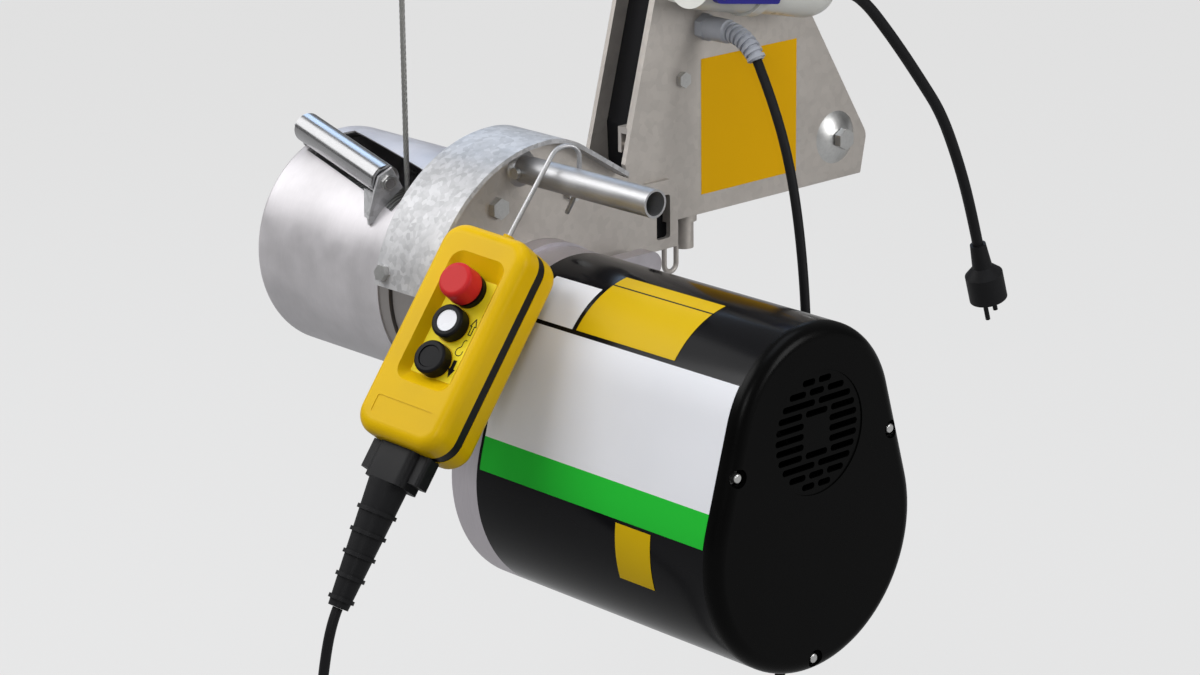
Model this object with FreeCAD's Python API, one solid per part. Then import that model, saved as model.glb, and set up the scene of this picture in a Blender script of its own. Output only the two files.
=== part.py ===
import FreeCAD, Part
import math
import os
from FreeCAD import Vector as V

# Electric scaffold rope winch, in millimetres.
# X runs along the drum and the motor: the rope drum is at -X, the motor at +X, the bracket at +Y.
# Pieces are placed from the drum axis (y = z = 0) and the near edge of the rim flange (x = 0).
# The finished solids then move so that the hanger bore of the bracket is the origin.

# Fits
RUN_FIT = 0.05          # radial running clearance of a shaft in its bearing
SEAT_FIT = 0.15         # radial clearance of a piece seated in a bore
FACE_GAP = 0.3          # gap between faces of pieces that move past each other
HOLE_FIT = 0.4          # radial clearance of a bolt in its hole
OVER = 1.0              # length that a cut runs past a face
PICK = 0.01             # tolerance for finding an edge by its place

# Drum casing
CASING_R = 102.7
CASING_WALL = 2.0
CASING_LEFT = -292.0
CASING_RIGHT = -115.0
CASING_EDGE = 5.0
SLOT_LEFT = 14.0        # from the casing's left end to the rope slot
SLOT_RIGHT = 5.0        # from the rope slot to the casing's right end
SLOT_FRONT = 13.0       # slot edge in front of the roller axis
SLOT_BACK = 36.0        # slot edge behind the roller axis
SLOT_CUT = 60.0         # depth of the slot's cut below the roller axis
CASING_NUT_AF = 24.0
CASING_NUT_T = 10.0

# Guide roller
ROLLER_R = 14.0
ROLLER_BORE = 11.0
ROLLER_PLUG = 9.0
ROLLER_PLUG_INSET = 1.5
ROLLER_PLUG_PRESS = 0.5
ROLLER_STAND = 15.7     # from the casing's outside to the ends of the roller's axis
ROLLER_ORBIT = CASING_R + ROLLER_STAND
ROLLER_LEFT_INSET = 7.0
ROLLER_RIGHT_INSET = 21.0
ROLLER_LEFT_ANGLE = 111.2
ROLLER_RIGHT_ANGLE = 128.1
ROLLER_END_GAP = 1.0
AXLE_R = 5.0
AXLE_OUT = 1.0          # axle end past its nut
TAB_T = 3.0
TAB_LEFT = [(-9.0, 9.0), (9.0, 9.0), (11.0, -26.0), (-11.0, -26.0)]     # around, out from the roller's axis
TAB_RIGHT = [(-10.0, 9.0), (5.0, 9.0), (17.0, -3.0), (32.0, -20.0), (34.0, -26.0), (-10.0, -26.0)]
TAB_FLANGE = (16.0, 5.0)        # depth of the folded flange at its top and at its foot
NUT_AF = 13.0
NUT_T = 5.0

# Rope drum
BARREL_R = 52.0
BARREL_WALL = 6.0
DRUM_GAP = 6.7          # from the drum's flanges to the casing's inside
DRUM_FLANGE_R = CASING_R - CASING_WALL - DRUM_GAP
DRUM_FLANGE_T = 5.0
DRUM_END_GAP = 6.0      # casing end wall to drum
DRUM_RIGHT = -118.0
DRUM_AXLE_R = 15.0
STUD_R = 7.5            # threaded end of the drum axle
STUD_OUT = 12.0
DRUM_BEARING_R = 26.0
DRUM_BEARING_W = 12.0
ROPE_D = 5.0
ROPE_X = -128.0
ROPE_TOP = 262.0
WINDING_GAP = 0.6

# Gear train
MODULE_FINAL = 2.5
RING_TEETH = 51
FINAL_TEETH = 12
MODULE = 2.0
OUTPUT_TEETH = 48
LAY_PINION_TEETH = 14
LAY_TEETH = 50
MOTOR_TEETH = 12
BACKLASH = 0.5
DEDENDUM = 1.25         # tooth depths, in modules
ADDENDUM = 0.9
RING_ROOT = 1.3
FACE_STEP = 0.5         # difference in face width of two gears in mesh
PRESSURE = math.radians(20.0)
RING_GEAR_R = 80.0
RING_GEAR_L = 25.0
FINAL_FACE = 17.0
LOW_FACE = 8.0
HIGH_FACE = 9.0
FACE_CLEAR = 2.0
OUTPUT_SHAFT_R = 10.0
LAY_SHAFT_R = 9.0
MOTOR_SHAFT_R = 11.0
BUSH_W = 8.0
OUTPUT_BEARING_R = 22.0
LAY_BEARING_R = 13.0
MOTOR_BEARING_R = 20.0
MOTOR_Z = -MODULE_FINAL * (RING_TEETH - FINAL_TEETH) / 2
LAY_Z = MOTOR_Z - MODULE * (LAY_TEETH + MOTOR_TEETH) / 2

# Gear case between casing and plate
CASE_R = 99.0
CASE_RIM_R = 101.5
CASE_RIM_W = 14.0
CASE_GROOVE_R = 96.0
CASE_GROOVE_W = 2.5
CASE_BORE_R = 88.0
CASE_FLANGE_R = 112.0
CASE_FLANGE_T = 6.0
CASE_WALL = 12.0
CASE_SPIGOT = 6.0
CASE_SPIGOT_T = 3.0

# Frame plate and rim flange
PLATE_T = 5.0
PLATE_FACE = -18.0      # face towards the motor
RIM_R = 140.7
RIM_T = 4.0
RIM_W = 74.0
RIM_START = 170.5       # angle of the rim's lower end
RIM_BEND_R = 80.0
RIM_BEND = 32.0
RIM_END_Y = 97.0
RIM_CHAMFER = 15.0
NECK_R = 80.0
NECK_Z = -33.0
NECK_WALL = 8.0
ARM_RIGHT = 174.5
ARM_TOP = 72.0
ARM_BOTTOM = 7.0
ARM_CORNER = 12.0
ARM_FLAT = 40.8         # level stretch of the arm's top
ARM_ROOT = 120.0        # from the drum axis to the arm's lower root
PLATE_HIP = (92.0, -60.0)
PLATE_FOOT = (60.0, -108.0)
PLATE_SLOT = (147.5, 164.5, 17.0, 58.0)
PLATE_SLOT_CORNER = 3.0
PLATE_BOLT_R = 95.5
PLATE_BOLT_ANGLES = (117.6, 62.4)
PLATE_BOLT_M = 5.0
PLATE_BOLT_AF = 17.0
PLATE_BOLT_HEAD = 6.5
PLATE_BOLT_L = 14.0
RIM_BOLT_X = -63.0
RIM_BOLT_ANGLE = 165.6
RIM_BOLT_HEAD = 5.5
RIM_BOLT_L = 16.0
SMALL_NUT_T = 6.0

# Carrying handle
HANDLE_R = 12.5
HANDLE_WALL = 2.0
HANDLE_WELD = 4.0
HANDLE_Y = -15.0
HANDLE_DROP = 25.7      # from the rim's outside to the handle's axis
HANDLE_Z = RIM_R - HANDLE_DROP
HANDLE_END = 152.0
HANDLE_BOLT_X = -9.0
HANDLE_BOLT_R = 4.0
HANDLE_BOLT_HEAD_R = 5.0
HANDLE_BOLT_HEAD_T = 4.0

# Gearbox housing and motor cover, egg section
EGG_TOP_R = 92.7
EGG_TOP_Z = -49.1
EGG_LOW_R = 118.2
EGG_LOW_Z = -142.5
HOUSING_W = 33.0
HOUSING_WALL = 6.0
HOUSING_BACK = 9.0
LUG_Y = 108.0
LUG_Z = 8.0
LUG_R = 13.0
LUG_T = 16.0
COVER_END = 314.0
COVER_WALL = 3.0
CAP_T = 14.0
CAP_EDGE = 12.0
VENT_R = 48.0
VENT_PITCH = 9.0
VENT_H = 5.6
VENT_ROWS = 5           # rows above and below the middle row
VENT_BAR = 4.2          # bar between two slots of a row
VENT_CORE = 13.0        # half width of the solid middle
VENT_FIELD = (53.5, 1.0)        # radius and depth of the round recess around the slots
CAP_SCREWS = ((-90.0, -67.0), (90.0, -67.0), (0.0, -249.0))
SCREW_R = 2.5
SCREW_HEAD_R = 4.2
SCREW_HEAD_T = 8.0
SCREW_EDGE = 1.5
WASHER_R = 6.4
WASHER_T = 1.6
SCREW_BOSS_R = 10.0
SCREW_BOSS_L = 18.0
NOTCH_R = 8.0
NOTCH_FLOOR = 3.0

# Motor
SHIELD_T = 10.0
SLEEVE_R = 79.0
STATOR_R = 75.0
STATOR_BORE = 41.5
STATOR_START = 70.0
STATOR_L = 95.0
COIL_L = 13.0
COIL_R = (50.0, 70.0)
ROTOR_GAP = 0.8
BELL_T = 10.0
BRAKE_L = 25.0
BRAKE_R = 48.0
DISC_T = 6.0
FAN_R = 64.0
FAN_HUB_R = 16.0
FAN_L = 28.0
FAN_BLADES = 8
BLADE_T = 3.0
BLADE_ROOT = 3.0        # depth of a blade's root in the hub
FAN_END_GAP = 52.0
CAPACITOR_R = 23.0
CAPACITOR_L = 96.0
CAPACITOR_Z = -192.0

# Bracket
BRACKET_T = 5.0
BRACKET_GAP = 44.0
BRACKET_FRONT = (113.3, 93.7)
BRACKET_LOW_FRONT = 135.0
BRACKET_LOW = 30.0
BRACKET_LOW_REAR = 423.0
BRACKET_REAR = (431.0, 68.0)
BRACKET_TOP = 310.0
BRACKET_TOP_FRONT = 170.7
BRACKET_TOP_REAR = 285.0
BRACKET_CORNER = 15.0
HANGER_R = 10.25
HANGER_Y = 255.0
HANGER_Z = 289.0
WEB_T = 4.0
WEB_FRONT = 50.0        # from the plates' lower front corner to the web
WEB_KNEE = 6.0
WEB_RAMP = 215.0
WEB_CORNER = 2.0
SMALL_BOLT = (185.0, 161.0)
SMALL_BOLT_R = 4.0
SMALL_BOLT_AF = 13.0
DOME_BOLT = (387.4, 71.4)
DOME_BOLT_R = 6.0
DOME_BOLT_AF = 18.0
DOME_R = 25.5
DOME_H = 8.0
SPACER_WALL = 3.0
HEAD_SHARE = 1.3        # head and nut heights of the through bolts, in shank radii
NUT_SHARE = 1.6
BOLT_TAIL = 2.0         # bolt end past its nut
BOX_INSET = 16.0
BOX_DEPTH = 62.0
BOX_LOW = 62.0
BOX_HIGH = 262.0
BOX_STEP = 18.0         # lower front edge of the box behind its upper one
BOX_STEP_H = 60.0
BOX_TAIL = (140.0, 183.0, 14.0, 16.0)    # front, rear, lower end and depth of the box's tail
STUB = (203.0, -40.0, -4.0)     # y, x, lower end
STUB_R = 9.0
STUB_COLLAR_R = 12.0
STUB_COLLAR_L = 8.0
EYE_Y = 166.5
EYE_R = 7.5
EYE_BAR_R = 2.4
EYE_LOW = -19.0
STAY_INSET = 5.0
STAY_W = 10.0
STAY_T = 7.0
STAY_BAR_W = 8.0
STAY_LOW = 124.0
STAY_HIGH = 285.0
FORK_L = 24.0
FORK_T = 16.8
FORK_GAP = 8.4
FORK_WEB = 6.0
FORK_PIN_R = 2.5
FORK_PIN_UP = 7.0

# Cable gland and control cord
GLAND_Y = 212.0
GLAND_Z = 206.0
GLAND_AF = 22.0
GLAND_NUT_T = 9.0
GLAND_R = 11.0
GLAND_L = 33.0
GLAND_CONE = 5.0
BEND_R = 42.0
BEND_TURN = 60.0
BEND_RIB_R = 9.6
BEND_RIB_TAPER = 0.15   # each rib is smaller than the one before
BEND_RIBS = 8
BEND_RIB_W = 2.9
BEND_CORE_R = 6.8
CORD_D = 9.0
ARC_SHARE = 0.45        # share of a cord's run that a bend takes at each end
CONTROL_ROUTE = [
    (46.4, 212.0, 185.0), (66.4, 212.0, 150.4), (87.0, 212.0, 100.0), (101.0, 212.0, 38.0),
    (110.0, 212.0, -40.0), (112.5, 211.0, -135.0), (112.0, 209.0, -240.0), (110.0, 207.0, -330.0),
    (103.0, 180.0, -404.0), (92.0, 120.0, -452.0), (81.0, 28.0, -472.0), (69.0, -75.0, -474.0),
    (61.0, -172.0, -456.0), (55.0, -250.0, -412.0), (52.5, -297.0, -356.0), (50.0, -311.2, -300.0),
    (49.7, -304.9, -254.4), (49.7, -294.9, -215.3), (49.7, -287.3, -202.7)]

# Power inlet, connector and mains cord
INLET_X = 15.0
INLET_Y = 160.0
INLET_Z = 265.0
INLET_TILT = 12.0
INLET_R = 29.0
INLET_L = 78.0
INLET_BASE = (168.0, 222.0, 236.0, 284.0)
INLET_RING = 2.5
INLET_RING_W = 12.0
CONNECTOR_R = 28.0
CONNECTOR_L = 96.0
CONNECTOR_NOSE = 30.0
CONNECTOR_NECK_R = 9.5
CONNECTOR_NECK = 16.0
CONNECTOR_TIP_R = 8.0
LEVER_PIVOT = (163.0, 254.0)
LEVER_TIP = (232.0, 238.0)
LEVER_R = 9.0
LEVER_TIP_R = 3.5
LEVER_T = 5.5
LEVER_PIN_R = 3.0
LEVER_BOSS_R = 6.0
LEVER_HEAD_R = 5.0
LEVER_HEAD_T = 2.5
MAINS_D = 11.0
MAINS_ROUTE = [
    (15.0, 346.2, 225.4), (15.0, 367.7, 220.8), (15.0, 390.2, 204.4), (15.0, 412.4, 181.4),
    (15.0, 437.8, 153.2), (15.0, 466.1, 119.5), (15.0, 495.0, 83.8), (15.0, 518.6, 37.5),
    (15.0, 539.6, -14.4), (15.0, 553.5, -60.2)]
PLUG_L = 62.0
PLUG_R = 19.0
PLUG_TAIL_R = 8.0
PLUG_WAIST_R = 10.0
PLUG_WAIST = 25.0
PLUG_SHOULDER = 34.0
PLUG_PIN_R = 2.4
PLUG_PIN_L = 19.0
PLUG_PIN_PITCH = 19.0

# Pendant, in its own frame: x across, y along, z out of the front
PENDANT_X = 55.1        # middle of the front, from the rim's near edge and from the handle's axis
PENDANT_OUT = 158.0
PENDANT_DROP = 100.5
PENDANT_AZIMUTH = 14.0
PENDANT_LEAN = 37.0
PENDANT_ROLL = 7.3
PENDANT_W = 92.0
PENDANT_L = 198.0
PENDANT_D = 62.0
PENDANT_CORNER = 21.0
FRONT_D = 25.0
FRONT_EDGE = 11.0
BACK_EDGE = 13.0
SHELL_T = 4.0
GASKET_T = 11.0
GASKET_INSET = 0.6
RECESS = (58.0, 122.0, 12.0, 4.0, 13.4)     # width, length, corner, middle
PANEL = (44.0, 94.0, 3.0, 2.5, 10.5)
RECESS_D = 11.0
PANEL_T = 4.0
FIELD = (60.0, 16.0, 2.0, 0.0, -74.0)       # bare sunk field below the panel
FIELD_D = 0.6
BUTTON_X = 1.3
ESTOP_Y = 44.5
UP_Y = 12.2
DOWN_Y = -21.8
BUTTON_ROWS = (ESTOP_Y, UP_Y, DOWN_Y)
BEZEL_R = 15.0
BEZEL_H = 13.0
BEZEL_NECK_R = 11.0
BEZEL_NECK_L = 7.0
BEZEL_EDGE = 2.5
BUTTON_R = 10.0
BUTTON_SUNK = 1.0       # button face below its bezel's rim
BUTTON_EDGE = 0.8
BUTTON_L = 22.0
ESTOP_R = 16.5          # mushroom head at its foot
ESTOP_TOP_R = 15.6
ESTOP_EDGE = 4.0
ESTOP_H = 19.0
ESTOP_COLLAR_R = 15.5
ESTOP_COLLAR_H = 5.5
ESTOP_TRAVEL = 4.0
ESTOP_STEM_R = 10.0
CONTACT = (26.0, 24.0)
CONTACT_TOP = -27.0
NECK_BLOCK = (42.0, 32.0, 32.0)     # width, depth, length of the pendant's neck
NECK_EDGE = 8.0
WING = (64.0, 18.0, 26.0)
WING_EDGE = 4.0
SLEEVE_TOP_R = 17.6
SLEEVE_END_R = 9.0
SLEEVE_L = 111.0
SLEEVE_SHIFT = -2.2     # sleeve to the side of the pendant's middle
SLEEVE_LEAN = 6.3       # degrees that the sleeve sags from the pendant's axis
SLEEVE_RINGS = 5
RING_R = 2.0            # height of a ring over the sleeve
RING_W = 3.6
RING_FIRST = 25.2
RING_PITCH = 19.6
HOOK_SIDE = -14.0       # hook boss on the back half, in the pendant's frame
HOOK_Z = -47.0
HOOK_BOSS_R = 5.0
HOOK_BOSS_L = 10.0
HOOK_RISE = 16.0
HOOK_SEAT = 6.0
HOOK_WIRE_R = 2.2
HOOK_FRONT_X = 35.5     # front corner of the wire's bend over the handle, from the handle's axis
HOOK_FRONT_Y = 5.9
HOOK_FRONT_RISE = 30.5
HOOK_BACK_X = 41.5
HOOK_BACK_RISE = 28.0
HOOK_TAIL = ((-1.0, -31.0), (-8.0, -48.0), (-17.5, -63.0))      # x and z from the bend's back corner

# Rope end above the winch
FERRULE_R = 6.5
FERRULE_L = 24.0
LOOP_R = 14.0
SNAP_BAR_R = 4.0
SNAP_HALF = 16.0
SNAP_L = 50.0
GATE_R = 3.4
GATE_GAP = 0.5
GATE_FOOT = 6.0         # from the hinge to the gate's bar
GATE_PIN_R = 1.4
HINGE_UP = 8.0
EAR_R = 4.8
EAR_T = 1.8
TONGUE_R = 3.8
TONGUE_W = 3.8
LINK_W = 4.4
LINK_IN = 2.0
SNAP_STUB = 4.0

# Places that follow from the sizes above
X_AXIS = V(1, 0, 0)
PLATE_BACK = PLATE_FACE - PLATE_T
NEAR_FACE = PLATE_BACK
NEAR_BACK = NEAR_FACE - BRACKET_T
FAR_FACE = NEAR_BACK - BRACKET_GAP
FAR_BACK = FAR_FACE - BRACKET_T
HANGER = V((NEAR_BACK + FAR_FACE) / 2, HANGER_Y, HANGER_Z)
PENDANT_AT = V(PENDANT_X, HANDLE_Y - PENDANT_OUT, HANDLE_Z - PENDANT_DROP)
CAP_FACE = COVER_END + CAP_T
NOTCH_SEAT = COVER_END + NOTCH_FLOOR
SLEEVE_END = STATOR_START + STATOR_L + COIL_L + FACE_CLEAR
BELL_END = SLEEVE_END + BELL_T
FAN_START = COVER_END - FAN_END_GAP - FAN_L
ROPE_Y = -(BARREL_R + FACE_GAP + ROPE_D / 2)
DRUM_LEFT = CASING_LEFT + CASING_WALL + DRUM_END_GAP
LOW_START = HOUSING_BACK + FACE_CLEAR
LOW_END = LOW_START + LOW_FACE
HIGH_START = LOW_END + FACE_CLEAR
HIGH_END = HIGH_START + HIGH_FACE
LAY_END = HOUSING_W + BUSH_W

OUT = "parts"
os.makedirs(OUT, exist_ok=True)


def save(name, *solids):
    """Moves the solids from the drum axis to the hanger bore and writes one node."""
    shape = solids[0] if len(solids) == 1 else Part.makeCompound(list(solids))
    shape = shape.copy()
    shape.translate(-HANGER)
    shape.exportStep(OUT + "/" + name + ".step")


def cylinder_x(radius, start, end, y=0.0, z=0.0):
    return Part.makeCylinder(radius, end - start, V(start, y, z), X_AXIS)


def tube_x(outer, inner, start, end, y=0.0, z=0.0):
    return cylinder_x(outer, start, end, y, z).cut(cylinder_x(inner, start - OVER, end + OVER, y, z))


def rod(radius, start, end):
    return Part.makeCylinder(radius, (end - start).Length, start, end - start)


def prism(points, start, end):
    """Extrudes a closed outline of (y, z) points along X."""
    wire = Part.makePolygon([V(start, y, z) for y, z in points + points[:1]])
    return Part.Face(wire).extrude(V(end - start, 0, 0))


def hex_prism(across_flats, height, base, direction):
    corner = across_flats / math.sqrt(3)
    points = [V(corner * math.cos(math.radians(60 * k)), corner * math.sin(math.radians(60 * k)), 0)
              for k in range(7)]
    solid = Part.Face(Part.makePolygon(points)).extrude(V(0, 0, height))
    solid.Placement = FreeCAD.Placement(base, FreeCAD.Rotation(V(0, 0, 1), direction))
    return solid


def hex_bolt(shank_r, across_flats, head, length, seat, direction):
    """A bolt whose head sits on seat and points along direction."""
    direction = direction.normalize()
    shank = Part.makeCylinder(shank_r, length, seat, -direction)
    return hex_prism(across_flats, head, seat, direction).fuse(shank)


def polar(radius, degrees):
    return radius * math.cos(math.radians(degrees)), radius * math.sin(math.radians(degrees))


def revolve_x(profile, y=0.0, z=0.0):
    """Turns a closed outline of (x, radius) points about an axis along X."""
    wire = Part.makePolygon([V(x, y, z + r) for x, r in profile + profile[:1]])
    return Part.Face(wire).revolve(V(0, y, z), X_AXIS, 360)


# Gears

def involute(angle):
    return math.tan(angle) - angle


def tooth_half_angle(teeth, module, radius, thinning):
    """Half the angle that a tooth takes at a radius, narrowed by half the backlash on each flank."""
    pitch_r = module * teeth / 2
    base_r = pitch_r * math.cos(PRESSURE)
    half = math.pi / (2 * teeth) - thinning / (2 * pitch_r)
    local = math.acos(min(1.0, base_r / radius))
    return half + involute(PRESSURE) - involute(local)


def gear_face(teeth, module, low, high, thinning, phase, x, z):
    """Toothed outline in the YZ plane, with one tooth centred on the phase angle."""
    low_r = module * teeth / 2 + low * module
    high_r = module * teeth / 2 + high * module
    low_half = tooth_half_angle(teeth, module, max(low_r, module * teeth / 2 * math.cos(PRESSURE)), thinning)
    high_half = tooth_half_angle(teeth, module, high_r, thinning)
    points = []
    for k in range(teeth):
        middle = math.radians(phase) + 2 * math.pi * k / teeth
        for radius, angle in ((low_r, -low_half), (high_r, -high_half),
                              (high_r, high_half), (low_r, low_half)):
            points.append(V(x, radius * math.cos(middle + angle), z + radius * math.sin(middle + angle)))
    return Part.Face(Part.makePolygon(points + points[:1]))


def gear(teeth, module, start, end, z, phase):
    """A spur gear about an axis along X at a height."""
    face = gear_face(teeth, module, -DEDENDUM, ADDENDUM, BACKLASH / 2, phase, start, z)
    return face.extrude(V(end - start, 0, 0))


def drum_gears():
    """Internal ring gear on the drum's right flange, and the pinion shaft below the drum axis."""
    ring_end = DRUM_RIGHT + RING_GEAR_L
    space = gear_face(RING_TEETH, MODULE_FINAL, -ADDENDUM, RING_ROOT, -BACKLASH / 2, -90, DRUM_RIGHT, 0)
    ring = cylinder_x(RING_GEAR_R, DRUM_RIGHT, ring_end).cut(space.extrude(V(RING_GEAR_L, 0, 0)))
    save("ring_gear", ring)
    final_end = ring_end - FACE_CLEAR / 2
    final = gear(FINAL_TEETH, MODULE_FINAL, final_end - FINAL_FACE, final_end, MOTOR_Z, -90)
    save("final_pinion", final.fuse(cylinder_x(OUTPUT_SHAFT_R, final_end - OVER, LOW_END, 0, MOTOR_Z)))


def gearbox_gears():
    """Output gear, layshaft with its pinion and wheel, and the motor shaft's pinion."""
    output = gear(OUTPUT_TEETH, MODULE, LOW_START, LOW_END, MOTOR_Z, -90 + 180 / OUTPUT_TEETH)
    save("output_gear", output.cut(cylinder_x(OUTPUT_SHAFT_R, 0, LOW_END + OVER, 0, MOTOR_Z)))
    shaft = cylinder_x(LAY_SHAFT_R, HOUSING_BACK - BUSH_W + FACE_GAP, LAY_END - FACE_GAP, 0, LAY_Z)
    pinion = gear(LAY_PINION_TEETH, MODULE, LOW_START - FACE_STEP, LOW_END + FACE_STEP, LAY_Z, 90)
    save("layshaft", shaft.fuse(pinion))
    wheel = gear(LAY_TEETH, MODULE, HIGH_START + FACE_STEP, HIGH_END - FACE_STEP, LAY_Z, 90)
    save("layshaft_gear", wheel.cut(cylinder_x(LAY_SHAFT_R, 0, LAY_END, 0, LAY_Z)))
    pinion = gear(MOTOR_TEETH, MODULE, HIGH_START, HIGH_END, MOTOR_Z, -90 + 180 / MOTOR_TEETH)
    shaft = cylinder_x(MOTOR_SHAFT_R, HIGH_END - FACE_STEP, FAN_START + FAN_L, 0, MOTOR_Z)
    save("motor_shaft", pinion.fuse(shaft))


def bearings():
    """Bushes of the drum, the pinion shaft, the layshaft and the motor shaft."""
    drum_r = DRUM_BEARING_R - RUN_FIT
    output_r = OUTPUT_SHAFT_R + RUN_FIT
    lay_r = LAY_SHAFT_R + RUN_FIT
    motor_r = MOTOR_SHAFT_R + RUN_FIT
    save("bearings",
         tube_x(drum_r, DRUM_AXLE_R, DRUM_LEFT, DRUM_LEFT + DRUM_BEARING_W),
         tube_x(drum_r, DRUM_AXLE_R, DRUM_RIGHT - DRUM_BEARING_W, DRUM_RIGHT),
         tube_x(OUTPUT_BEARING_R, output_r, PLATE_BACK - CASE_WALL, PLATE_BACK, 0, MOTOR_Z),
         tube_x(OUTPUT_BEARING_R, output_r, 0, HOUSING_BACK, 0, MOTOR_Z),
         tube_x(LAY_BEARING_R, lay_r, HOUSING_BACK - BUSH_W, HOUSING_BACK, 0, LAY_Z),
         tube_x(LAY_BEARING_R, lay_r, HOUSING_W, LAY_END, 0, LAY_Z),
         tube_x(MOTOR_BEARING_R, motor_r, HOUSING_W, HOUSING_W + SHIELD_T, 0, MOTOR_Z),
         tube_x(MOTOR_BEARING_R, motor_r, SLEEVE_END, BELL_END, 0, MOTOR_Z))


# Egg section of the gearbox housing and the motor cover

def egg_face(inset, x):
    """Two circles joined by their outer tangents, in the YZ plane."""
    top_r = EGG_TOP_R - inset
    low_r = EGG_LOW_R - inset
    rise = math.asin((low_r - top_r) / (EGG_TOP_Z - EGG_LOW_Z))
    c = math.cos(rise)
    s = math.sin(rise)
    top_left = V(x, -top_r * c, EGG_TOP_Z + top_r * s)
    top_right = V(x, top_r * c, EGG_TOP_Z + top_r * s)
    low_left = V(x, -low_r * c, EGG_LOW_Z + low_r * s)
    low_right = V(x, low_r * c, EGG_LOW_Z + low_r * s)
    edges = [Part.Arc(top_left, V(x, 0, EGG_TOP_Z + top_r), top_right).toShape(),
             Part.LineSegment(top_right, low_right).toShape(),
             Part.Arc(low_right, V(x, 0, EGG_LOW_Z - low_r), low_left).toShape(),
             Part.LineSegment(low_left, top_left).toShape()]
    return Part.Face(Part.Wire(edges))


def egg(inset, start, end):
    return egg_face(inset, start).extrude(V(end - start, 0, 0))


def gearbox_housing():
    """Silver ring with a neck through the plate, a lug at its side and both bearing seats."""
    body = egg(0, 0, HOUSING_W)
    neck = cylinder_x(NECK_R, PLATE_BACK, 0, 0, NECK_Z)
    lug = cylinder_x(LUG_R, 0, LUG_T, LUG_Y, LUG_Z)
    low = LUG_Z - LUG_R
    high = LUG_Z + LUG_R
    arm = prism([(0, high), (LUG_Y, high), (LUG_Y, low), (0, low)], 0, LUG_T)
    housing = body.fuse([neck, lug, arm]).removeSplitter()
    housing = housing.cut(egg(HOUSING_WALL, HOUSING_BACK, HOUSING_W + OVER))
    housing = housing.cut(cylinder_x(NECK_R - NECK_WALL, PLATE_BACK - OVER, 0, 0, NECK_Z))
    housing = housing.cut(cylinder_x(OUTPUT_BEARING_R, -OVER, HOUSING_BACK + OVER, 0, MOTOR_Z))
    housing = housing.cut(cylinder_x(LAY_BEARING_R, HOUSING_BACK - BUSH_W, HOUSING_BACK + OVER, 0, LAY_Z))
    save("gearbox_housing", housing)


def motor_shield():
    """Egg-shaped plate behind the gears, with the sleeve that carries the stator."""
    plate = egg(COVER_WALL + SEAT_FIT, HOUSING_W, HOUSING_W + SHIELD_T)
    shield = plate.fuse(tube_x(SLEEVE_R, STATOR_R, HOUSING_W + SHIELD_T, SLEEVE_END, 0, MOTOR_Z))
    start = HOUSING_W - OVER
    shield = shield.cut(cylinder_x(MOTOR_BEARING_R, start, HOUSING_W + SHIELD_T + OVER, 0, MOTOR_Z))
    save("motor_shield", shield.cut(cylinder_x(LAY_BEARING_R, start, HOUSING_W + BUSH_W, 0, LAY_Z)))


def motor():
    """Stator with its windings, rotor, rear bell with the brake, brake disc and capacitor."""
    stator_end = STATOR_START + STATOR_L
    coil_in, coil_out = COIL_R
    save("stator", tube_x(STATOR_R, STATOR_BORE, STATOR_START, stator_end, 0, MOTOR_Z),
         tube_x(coil_out, coil_in, STATOR_START - COIL_L, STATOR_START, 0, MOTOR_Z),
         tube_x(coil_out, coil_in, stator_end, stator_end + COIL_L, 0, MOTOR_Z))
    save("rotor", tube_x(STATOR_BORE - ROTOR_GAP, MOTOR_SHAFT_R, STATOR_START, stator_end, 0, MOTOR_Z))
    brake_end = BELL_END + BRAKE_L
    save("rear_bell", tube_x(SLEEVE_R, MOTOR_BEARING_R, SLEEVE_END, BELL_END, 0, MOTOR_Z),
         tube_x(BRAKE_R, MOTOR_SHAFT_R + FACE_CLEAR, BELL_END, brake_end, 0, MOTOR_Z))
    disc_start = brake_end + FACE_GAP
    save("brake_disc", tube_x(BRAKE_R, MOTOR_SHAFT_R, disc_start, disc_start + DISC_T, 0, MOTOR_Z))
    seat = HOUSING_W + SHIELD_T
    save("capacitor", cylinder_x(CAPACITOR_R, seat, seat + CAPACITOR_L, 0, CAPACITOR_Z))


def fan():
    """Radial fan on the motor shaft's end: hub, back plate and straight blades."""
    fan_end = FAN_START + FAN_L
    hub = cylinder_x(FAN_HUB_R, FAN_START, fan_end, 0, MOTOR_Z)
    back = cylinder_x(FAN_R, FAN_START, FAN_START + BLADE_T, 0, MOTOR_Z)
    root = FAN_HUB_R - BLADE_ROOT
    blades = []
    for k in range(FAN_BLADES):
        blade = Part.makeBox(FAN_L, FAN_R - root, BLADE_T, V(FAN_START, root, -BLADE_T / 2))
        blade.rotate(V(0, 0, 0), X_AXIS, 360 * k / FAN_BLADES)
        blade.translate(V(0, 0, MOTOR_Z))
        blades.append(blade)
    wheel = hub.fuse([back] + blades)
    save("fan", wheel.cut(cylinder_x(MOTOR_SHAFT_R, FAN_START - OVER, fan_end + OVER, 0, MOTOR_Z)))


def vent_slot(y0, y1, z):
    """A slot with round ends, cut through the cap's face."""
    r = VENT_H / 2
    end = CAP_FACE + OVER
    bar = Part.makeBox(end - COVER_END, y1 - y0 - VENT_H, VENT_H, V(COVER_END, y0 + r, z - r))
    return bar.fuse([cylinder_x(r, COVER_END, end, y0 + r, z), cylinder_x(r, COVER_END, end, y1 - r, z)])


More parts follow.
